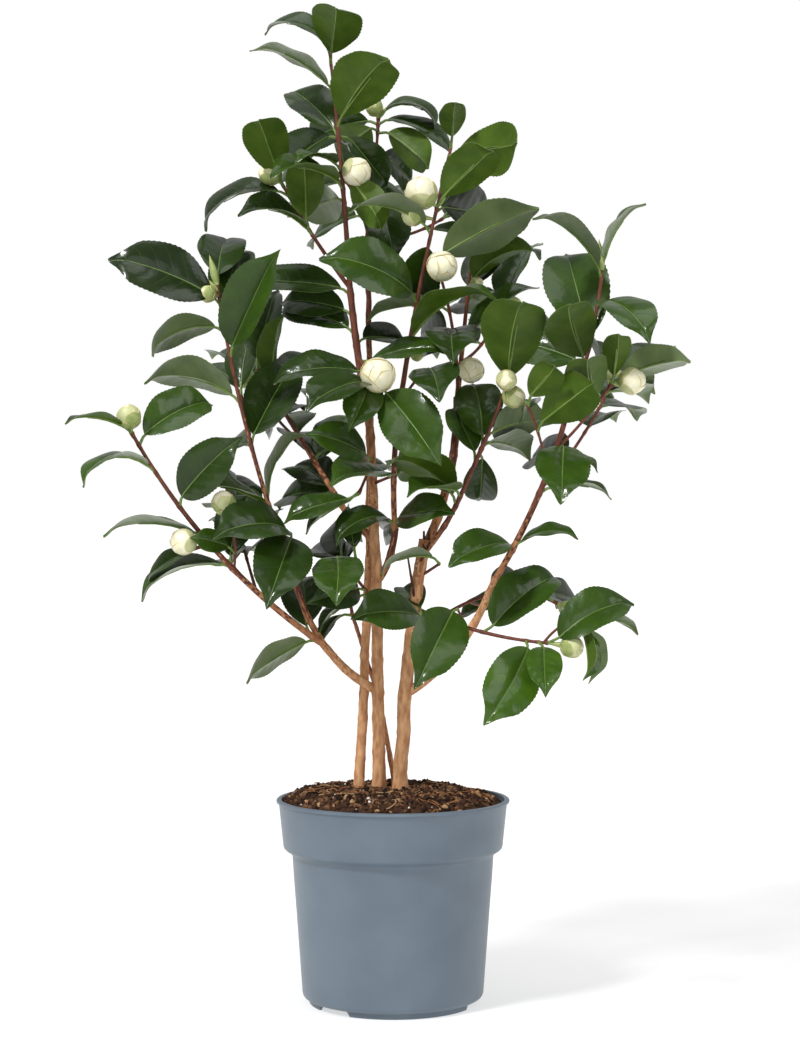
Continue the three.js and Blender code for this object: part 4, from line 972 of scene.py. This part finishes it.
def add_bud(heap, bud, seed):
    """A ball in overlapping scales, cream at the tip of a ripe bud and green at its foot."""
    axes = (bud["along"], *bud_axes(bud["along"]))
    radius = bud["radius"]
    steps = np.linspace(0, math.pi, 12)
    path = [bud["centre"] - bud["along"] * math.cos(a) * radius * 0.97 for a in steps]
    add_tube(heap, path, [max(0.02, math.sin(a)) * radius * 0.93 for a in steps], 16, CREAM)
    green_from = GREEN_FROM[0] if radius > RIPE_RADIUS else GREEN_FROM[1]
    for k in range(BUD_SCALES):
        share = k / (BUD_SCALES - 1)
        top = SCALE_TOP[0] - SCALE_TOP[1] * share**1.1 + 0.03 * chance(seed, k)
        wide = SCALE_WIDE[0] - SCALE_WIDE[1] * share
        reach_out = radius * (SCALE_OUT[0] + SCALE_OUT[1] * share)
        paint = CREAM if share < green_from else GREENISH if share < green_from + GREEN_BAND else SEPAL
        add_scale(heap, bud["centre"], axes, reach_out, GOLDEN * k + seed, top, wide, paint)
    start = bud["centre"] - bud["along"] * radius
    stalk = np.linspace(bud["site"], start + bud["along"] * radius * 0.3, 5)
    add_tube(heap, stalk, BUD_STALK, 8, SEPAL)


def add_spear(heap, base, along, length):
    """A pointed leaf bud."""
    steps = np.linspace(0, 1, 10)
    path = [base + along * length * t for t in steps]
    radii = [max(0.08, SPEAR * length * math.sin(math.pi * (0.1 + 0.9 * t) ** 0.8)) for t in steps]
    add_tube(heap, path, radii, 8, SEPAL)


# ---- pot ----
POT_SIDES = 144
FLOOR_LIFT = 3.4  # mm from the ground to the pot's floor
RING_WIDTH = 2
PAD = 14  # radius of the flat pad under the floor


def round_off(x, z, *offsets):
    """Points of the outline at small distances from one of its corners."""
    return [(x + out, z + up) for out, up in offsets]


def pot_profile():
    """Radius and height of the outline, from the middle of the underside round to the floor."""
    p = POT
    floor = FLOOR_LIFT + p.floor
    return [
        (0, 0), (PAD, 0), (PAD + 2, FLOOR_LIFT),
        *round_off(p.ring - RING_WIDTH, 0, (0, FLOOR_LIFT), (0, 0.3), (0.3, 0)),
        *round_off(p.ring, 0, (-0.3, 0), (0, 0.3), (0.1, FLOOR_LIFT - 0.3), (1.2, FLOOR_LIFT + 0.1)),
        (p.foot - 2.2, FLOOR_LIFT + 0.5),
        *round_off(p.foot, p.foot_z, (-1.1, -2.2), (-0.3, -0.9), (0, 0.6), (1.8, 25), (3.8, 52)),
        *round_off(p.neck, p.neck_z, (-0.9, -14), (-0.05, -0.8), (0.5, 0.5), (2, 2.2)),
        *round_off(p.band_low, p.band_bottom, (-1.6, -1.5), (-0.4, -0.4), (0, 0.7), (1.4, 14)),
        *round_off(p.band_top, p.height - p.lip, (0, -0.3), (0.2, 0)),
        *round_off(p.rim, p.height, (-0.6, -p.lip), (-0.1, -1.8), (0, -1.2), (-0.15, -0.5)),
        *round_off(p.rim, p.height, (-0.6, -0.1), (-1.2, 0)),
        *round_off(p.band_top - p.wall, p.height, (0.4, 0), (0.05, -0.35), (0, -1)),
        (p.band_low - p.wall, p.band_bottom + 2), (p.neck - p.wall, p.neck_z - 1),
        (p.foot - p.wall, p.foot_z + 2), (p.foot - p.wall - 1.6, floor), (0, floor),
    ]


def make_pot(material):
    """The pot turned about its axis, with the gaps in its foot ring lifted to its floor."""
    heap = Heap()
    angles = 2 * math.pi * np.arange(POT_SIDES) / POT_SIDES
    rows = []
    for radius, height in pot_profile():
        z = np.full(POT_SIDES, float(height))
        if POT.ring - RING_WIDTH - 0.1 < radius < POT.ring + 0.2 and height < FLOOR_LIFT:
            for gap in FOOT_GAPS:
                centre = math.radians(gap - 90)
                off = np.abs((angles - centre + math.pi) % (2 * math.pi) - math.pi)
                z[off < math.radians(FOOT_GAP / 2)] = FLOOR_LIFT
        rows.append(np.stack([radius * np.cos(angles), radius * np.sin(angles), z], 1))
    heap.add(rows, grid_faces(len(rows), POT_SIDES, closed=True), 0)
    weld(heap.piece("pot_shell", [material], ["pot"], "pot"))


def weld(piece):
    """Merges the points that meet, and drops the faces that shrank to nothing."""
    work = bmesh.new()
    work.from_mesh(piece.data)
    bmesh.ops.remove_doubles(work, verts=work.verts, dist=1e-6)
    bmesh.ops.dissolve_degenerate(work, edges=work.edges, dist=1e-6)
    work.to_mesh(piece.data)
    work.free()
    piece.data.set_sharp_from_angle(angle=math.radians(35))


# ---- peat ----
PEAT_RINGS = 60
PEAT_SIDES = 150
PEAT_EDGE = POT.band_top - POT.wall - 1.3  # radius of the peat at the rim
CRUMBS = 2600
SCRAPS = 150
CRUMB_FIELD, SCRAP_FIELD = 0.985, 0.95  # shares of the peat's radius they lie within
GRAIN_WIDTH, CRUMB_WIDTH = (0.5, 1.1), (0.6, 2.1)  # mm, half the width of perlite and of the rest
SCRAP_LENGTH, SCRAP_BEND, SCRAP_RADIUS = (5, 16), (-1.6, 1.6), (0.18, 0.42)  # mm, radians, mm
PEAT, PEAT_DARK, PEAT_PALE, PERLITE, FIBRE, DRY = range(6)
CRUMB_SHARES = {PEAT: 0.4, PEAT_DARK: 0.27, PEAT_PALE: 0.23, PERLITE: 0.03, DRY: 0.07}


def peat_height(x, y):
    """The peat's uneven top, as the source mounds it, with finer clods."""
    r = math.hypot(x, y)
    edge = PEAT_EDGE - 0.1
    mound = [SOIL_TOP, SOIL_TOP, SOIL_TOP - 1.2, SOIL_TOP - 3.6, POT.height - 2.8]
    z = float(np.interp(r, [0, 32, 48, 62, edge], mound))
    if r > 40:
        z += 1.6 * (-x - y) / POT.rim + 0.8 * math.sin(x / 7) * math.cos(y / 9)
    clods = noise.noise(Vector((x, y, 0)) * 0.13) * 1.1 + noise.noise(Vector((x, y, 9)) * 0.4) * 0.8
    return z - 0.9 + clods * float(smooth(edge + 2, edge - 4, r))


def peat_point(radius, angle):
    """A point of the peat's top."""
    x, y = radius * math.cos(angle), radius * math.sin(angle)
    return x, y, peat_height(x, y)


def make_peat(materials):
    """The peat's mounded top and its sides inside the pot, strewn with crumbs and litter."""
    heap = Heap()
    radii = np.linspace(0.4, PEAT_EDGE, PEAT_RINGS)
    angles = 2 * math.pi * np.arange(PEAT_SIDES) / PEAT_SIDES
    top = [[peat_point(r, a) for a in angles] for r in radii]
    skirt = [
        (PEAT_EDGE, POT.height - 8), (POT.band_low - 3.5, POT.band_bottom + 2),
        (POT.neck - 3, POT.neck_z - 2), (POT.foot - 4, POT.foot_z + 3), (1, POT.foot_z + 3),
    ]
    side = [[(r * math.cos(a), r * math.sin(a), z) for a in angles] for r, z in skirt]
    heap.add(top + side, grid_faces(len(top + side), PEAT_SIDES, closed=True), PEAT)
    draw = np.random.default_rng(7)
    add_crumbs(heap, draw)
    add_litter(heap, draw)
    heap.piece("peat", materials, ["soil"], "peat")


def strewn(draw, share):
    """A place on the peat, within a share of its radius."""
    r = PEAT_EDGE * math.sqrt(draw.random()) * share
    a = draw.random() * 2 * math.pi
    return r * math.cos(a), r * math.sin(a)


def add_crumbs(heap, draw):
    """Clods, chips and grains strewn over the peat."""
    ball = np.array([(x, y, z) for x in (-1, 1) for y in (-1, 1) for z in (-1, 1)], float) * 0.62
    tips = np.array([(1, 0, 0), (-1, 0, 0), (0, 1, 0), (0, -1, 0), (0, 0, 1), (0, 0, -1)], float)
    shape = np.vstack([ball, tips])
    quads = [(4, 5, 7, 6), (0, 2, 3, 1), (2, 6, 7, 3), (0, 1, 5, 4), (1, 3, 7, 5), (0, 4, 6, 2)]
    faces = [(quad[i], quad[(i + 1) % 4], tip) for tip, quad in enumerate(quads, 8) for i in range(4)]
    for _ in range(CRUMBS):
        x, y = strewn(draw, CRUMB_FIELD)
        kind = draw.choice(list(CRUMB_SHARES), p=list(CRUMB_SHARES.values()))
        width = draw.uniform(*(GRAIN_WIDTH if kind == PERLITE else CRUMB_WIDTH))
        stretch = draw.uniform(0.5, 1.5, 3) * width
        turn = np.linalg.qr(draw.normal(size=(3, 3)))[0]
        lumps = shape * draw.uniform(0.75, 1.2, (len(shape), 1))
        z = peat_height(x, y) + 0.15 * width
        heap.add((lumps * stretch) @ turn + vec(x, y, z), faces, kind)


def add_litter(heap, draw):
    """Fibres and curled dry scraps on the peat."""
    for k in range(SCRAPS):
        start = vec(*strewn(draw, SCRAP_FIELD), 0)
        way = draw.random() * 2 * math.pi
        length = draw.uniform(*SCRAP_LENGTH)
        bend = draw.uniform(*SCRAP_BEND)
        path = []
        for t in np.linspace(0, 1, 7):
            p = start + vec(math.cos(way + bend * t), math.sin(way + bend * t), 0) * length * t
            if math.hypot(p[0], p[1]) > PEAT_EDGE - 1:
                break
            p[2] = peat_height(p[0], p[1]) + 0.9 + 1.3 * math.sin(math.pi * t) * chance(k, 2)
            path.append(p)
        if len(path) > 3:
            radii = [draw.uniform(*SCRAP_RADIUS)] * len(path)
            add_tube(heap, path, radii, 5, FIBRE if k % 3 else DRY)


# ---- stubs left by pruning, at the head of the right stem ----
STUBS = [  # from, to, radii
    ((18, -12, 286), (24, -18, 299), (0.9, 0.6)), ((22, -14, 290), (19.5, -17, 297.5), (0.9, 0.6)),
    ((20, -10, 296), (20, -12, 306), (1.0, 0.7)), ((23, -10, 298), (23.5, -12, 308), (0.9, 0.6)),
    ((14, -11, 262), (9.5, -18, 290), (1.0, 0.6)),
]


# ---- building ----
TONE = SimpleNamespace(all=0.27, low=0.22, front=0.2, chance=0.34)  # shares of the way to the brightest; low and front are painted light and shade, chance the leaves' own spread


def tone_and_painted_light_of(blade):
    """Low front sprays are lighter and those at the back and in the middle darker: painted light and shade
    by place in the bush, with a chance spread of the leaves' own tone.
    """
    low = smooth(330, 250, blade["base"][2])
    front = smooth(10, -50, blade["base"][1])
    value = TONE.all + TONE.low * low * front + TONE.front * front
    value += TONE.chance * (chance(blade["seed"], 9) - 0.5)
    return FIRST_TONE + int(np.clip(value * len(TONES), 0, len(TONES) - 1))


def build_plant():
    """Stems and boughs in one piece, twigs in one, then leaves and buds."""
    limbs = lay_limbs()
    twigs = lay_twigs(limbs)
    buds, blades = lay_leaves(limbs, twigs)
    bark = [
        finish("bark_old", (172, 122, 84), (214, 165, 122), 2.6, 0.82, (0.9, 0.35), 0.25, stretch=LONG),
        finish("bark_brown", (140, 91, 62), (184, 129, 88), 2.4, 0.78, (0.8, 0.25), 0.3, stretch=LONG),
        finish("bark_red", (84, 42, 30), (118, 62, 42), 2.2, 0.6, (0.7, 0.15), 0.4, stretch=LONG),
        finish("bark_dark", (62, 36, 28), (92, 54, 38), 2.0, 0.7, (0.7, 0.15), 0.3),
    ]
    stems = Heap()
    for name, limb in limbs.items():
        add_limb(stems, name, limb)
    for start, end, radii in STUBS:
        path = np.linspace(vec(*start), vec(*end), 6)
        add_tube(stems, path, np.linspace(*radii, 6), 8, BARK_TONES["dark"], STUB_RELIEF)
    stems.piece("stems_and_boughs", bark, list(limbs), "bark")
    wood = Heap()
    for twig in twigs:
        add_twig(wood, twig)
    wood.piece("twigs", bark, [], "bark")
    build_leaves(blades)
    build_buds(buds, twigs)


def leaf_finishes():
    """The leaves' surfaces in the order of their numbers, then the tones of the upper face."""
    colours = {
        "deep": ((22, 36, 9), (30, 46, 13)), "dark": ((31, 50, 11), (39, 60, 15)),
        "mid": ((41, 65, 13), (51, 77, 17)), "bright": ((50, 78, 14), (61, 92, 18)),
        "lime": ((62, 92, 24), (75, 106, 30)),
    }
    shared = [
        finish("leaf_rib", (78, 104, 42), (96, 122, 54), 9, 0.4),
        finish("leaf_underside", (60, 85, 17), (74, 98, 25), 12, 0.5, (1.2, 0.1), 0.22),
        finish("leaf_under_rib", (110, 134, 62), (126, 148, 76), 9, 0.5),
        finish("leaf_stalk", (92, 118, 46), (112, 136, 60), 6, 0.45),
        finish("leaf_edge", (92, 112, 56), (112, 132, 72), 6, 0.5),
        finish("leaf_vein", (46, 70, 24), (62, 87, 35), 6, 0.45),
        # The underside's lighter copy with sheen, put on by a blade's lie: painted light.
        finish("leaf_underside_painted_light", (74, 94, 46), (90, 108, 58), 12, 0.5, (1.2, 0.1), 0.25, sheen=0.6),
    ]
    return shared + [
        finish("leaf_" + tone, *colours[tone], 16, 0.34, (2.6, 0.2), 0.14, 0.4) for tone in TONES
    ]


def build_leaves(blades):
    """Leaves of whole shoots, joined until a piece is full."""
    finishes = leaf_finishes()
    heap, nodes, number = Heap(), [], 1
    for shoot in SHOOTS:
        extra = Heap()
        for blade in blades:
            if blade["shoot"] == shoot:
                add_leaf(extra, blade, tone_and_painted_light_of(blade))
        if nodes and heap.triangles() + extra.triangles() > LEAF_PIECE:
            heap.piece(f"leaves_{number}", finishes, nodes, "foliage")
            heap, nodes, number = Heap(), [], number + 1
        heap.merge(extra)
        nodes.append(shoot)
    heap.piece(f"leaves_{number}", finishes, nodes, "foliage")


def build_buds(buds, twigs):
    """Flower buds and leaf buds in one piece."""
    heap = Heap()
    paints = [
        finish("bud_cream", (234, 229, 190), (247, 243, 218), 5, 0.5, (0.8, 0.06), 0.4),
        finish("bud_greenish", (184, 190, 134), (204, 208, 156), 5, 0.5, (0.8, 0.06), 0.4),
        finish("bud_sepal", (136, 152, 84), (162, 174, 108), 4, 0.5, (0.8, 0.06), 0.4),
        finish("bud_rim", (204, 184, 134), (220, 204, 156), 2, 0.6),
    ]
    for k, bud in enumerate(buds):
        add_bud(heap, bud, k + 1)
    for twig in twigs:
        for at, clock, lean, length in twig["spears"]:
            along, _ = blade_ways(clock, lean, 0)
            add_spear(heap, spot(twig, at), along, length)
    heap.piece("buds", paints, [], "foliage")


# ---- stage ----
CAMERA = SimpleNamespace(distance=1480, height=328, aside=4.56, lens=78.1, shift=-0.0258)
FLOOR = 60000  # half the floor's side
SKY = {"From Min": -0.2, "From Max": 0.7, "To Min": 0.26, "To Max": 0.55}  # strength, front to back
SUNS = {  # strength, angle, azimuth with 0 the front and 90 the right, and height, in degrees
    "key": (2.6, 10, -45, 46), "front": (0.55, 40, 8, 12), "fill": (0.6, 30, 60, 35),
    "top": (0.75, 40, 0, 88),
}


def make_stage():
    """A plain pale floor."""
    mesh = bpy.data.meshes.new("floor")
    corners = [(x * FLOOR * UNIT, y * FLOOR * UNIT, 0) for x, y in ((-1, -1), (1, -1), (1, 1), (-1, 1))]
    mesh.from_pydata(corners, [], [(0, 1, 2, 3)])
    paint = finish("floor_paint", (170, 170, 170), (172, 172, 172), 200, 0.9, specular=0.1)
    shader = paint.node_tree.nodes["Principled BSDF"]
    fill(paint.node_tree, shader, {"Emission Color": WHITE, "Emission Strength": 0.6})
    mesh.materials.append(paint)
    place("floor", mesh)


def make_camera():
    """A camera that looks level at the plant from the front."""
    data = bpy.data.cameras.new("camera")
    data.lens = CAMERA.lens
    data.sensor_width = 36
    data.shift_y = CAMERA.shift
    data.clip_end = 100
    camera = place("camera", data)
    camera.location = vec(CAMERA.aside, -CAMERA.distance, CAMERA.height) * UNIT
    camera.rotation_euler = (math.pi / 2, 0, 0)
    bpy.context.scene.camera = camera


def add_sun(name, strength, angle, azimuth, elevation):
    """A sun that shines from a side and a height."""
    data = bpy.data.lights.new(name, "SUN")
    data.energy = strength
    data.angle = math.radians(angle)
    a, e = math.radians(azimuth), math.radians(elevation)
    back = Vector((math.sin(a) * math.cos(e), -math.cos(a) * math.cos(e), math.sin(e)))
    place(name, data).rotation_euler = back.to_track_quat("Z", "Y").to_euler()


def make_lights():
    """A white backdrop, a soft sky that is brighter at the back, and four soft suns."""
    world = bpy.data.worlds.new("studio")
    world.use_nodes = True
    tree = world.node_tree
    way = node(tree, "TexCoord").outputs["Generated"]
    depth = node(tree, "SeparateXYZ", {"Vector": way}).outputs["Y"]
    strength = node(tree, "MapRange", {"Value": depth, **SKY}).outputs["Result"]
    sky = tree.nodes["Background"]
    fill(tree, sky, {"Color": WHITE, "Strength": strength})
    backdrop = node(tree, "Background", {"Color": WHITE, "Strength": 1.0})
    seen = node(tree, "LightPath").outputs["Is Camera Ray"]
    lights = {0: seen, 1: sky.outputs["Background"], 2: backdrop.outputs["Background"]}
    either = node(tree, "MixShader", lights).outputs["Shader"]
    fill(tree, tree.nodes["World Output"], {"Surface": either})
    bpy.context.scene.world = world
    for name, values in SUNS.items():
        add_sun(name, *values)
    bpy.context.scene.view_settings.view_transform = "Standard"


make_camera()
make_lights()
make_stage()
make_pot(finish("pot_plastic", (88, 102, 115), (95, 109, 121), 30, 0.4, (2.5, 0.03), 0.6))
make_peat([
    finish("peat_brown", (52, 36, 28), (78, 54, 40), 1.6, 0.95, (0.6, 0.5), 0.1),
    finish("peat_dark", (30, 22, 18), (46, 33, 26), 1.6, 0.95, (0.6, 0.4), 0.1),
    finish("peat_pale", (92, 66, 48), (122, 88, 62), 1.6, 0.95, (0.6, 0.4), 0.1),
    finish("perlite", (214, 210, 200), (236, 232, 224), 1, 0.9),
    finish("fibre", (132, 84, 48), (168, 112, 66), 2, 0.85),
    finish("dry_scrap", (150, 112, 76), (182, 146, 106), 2, 0.85),
])
build_plant()
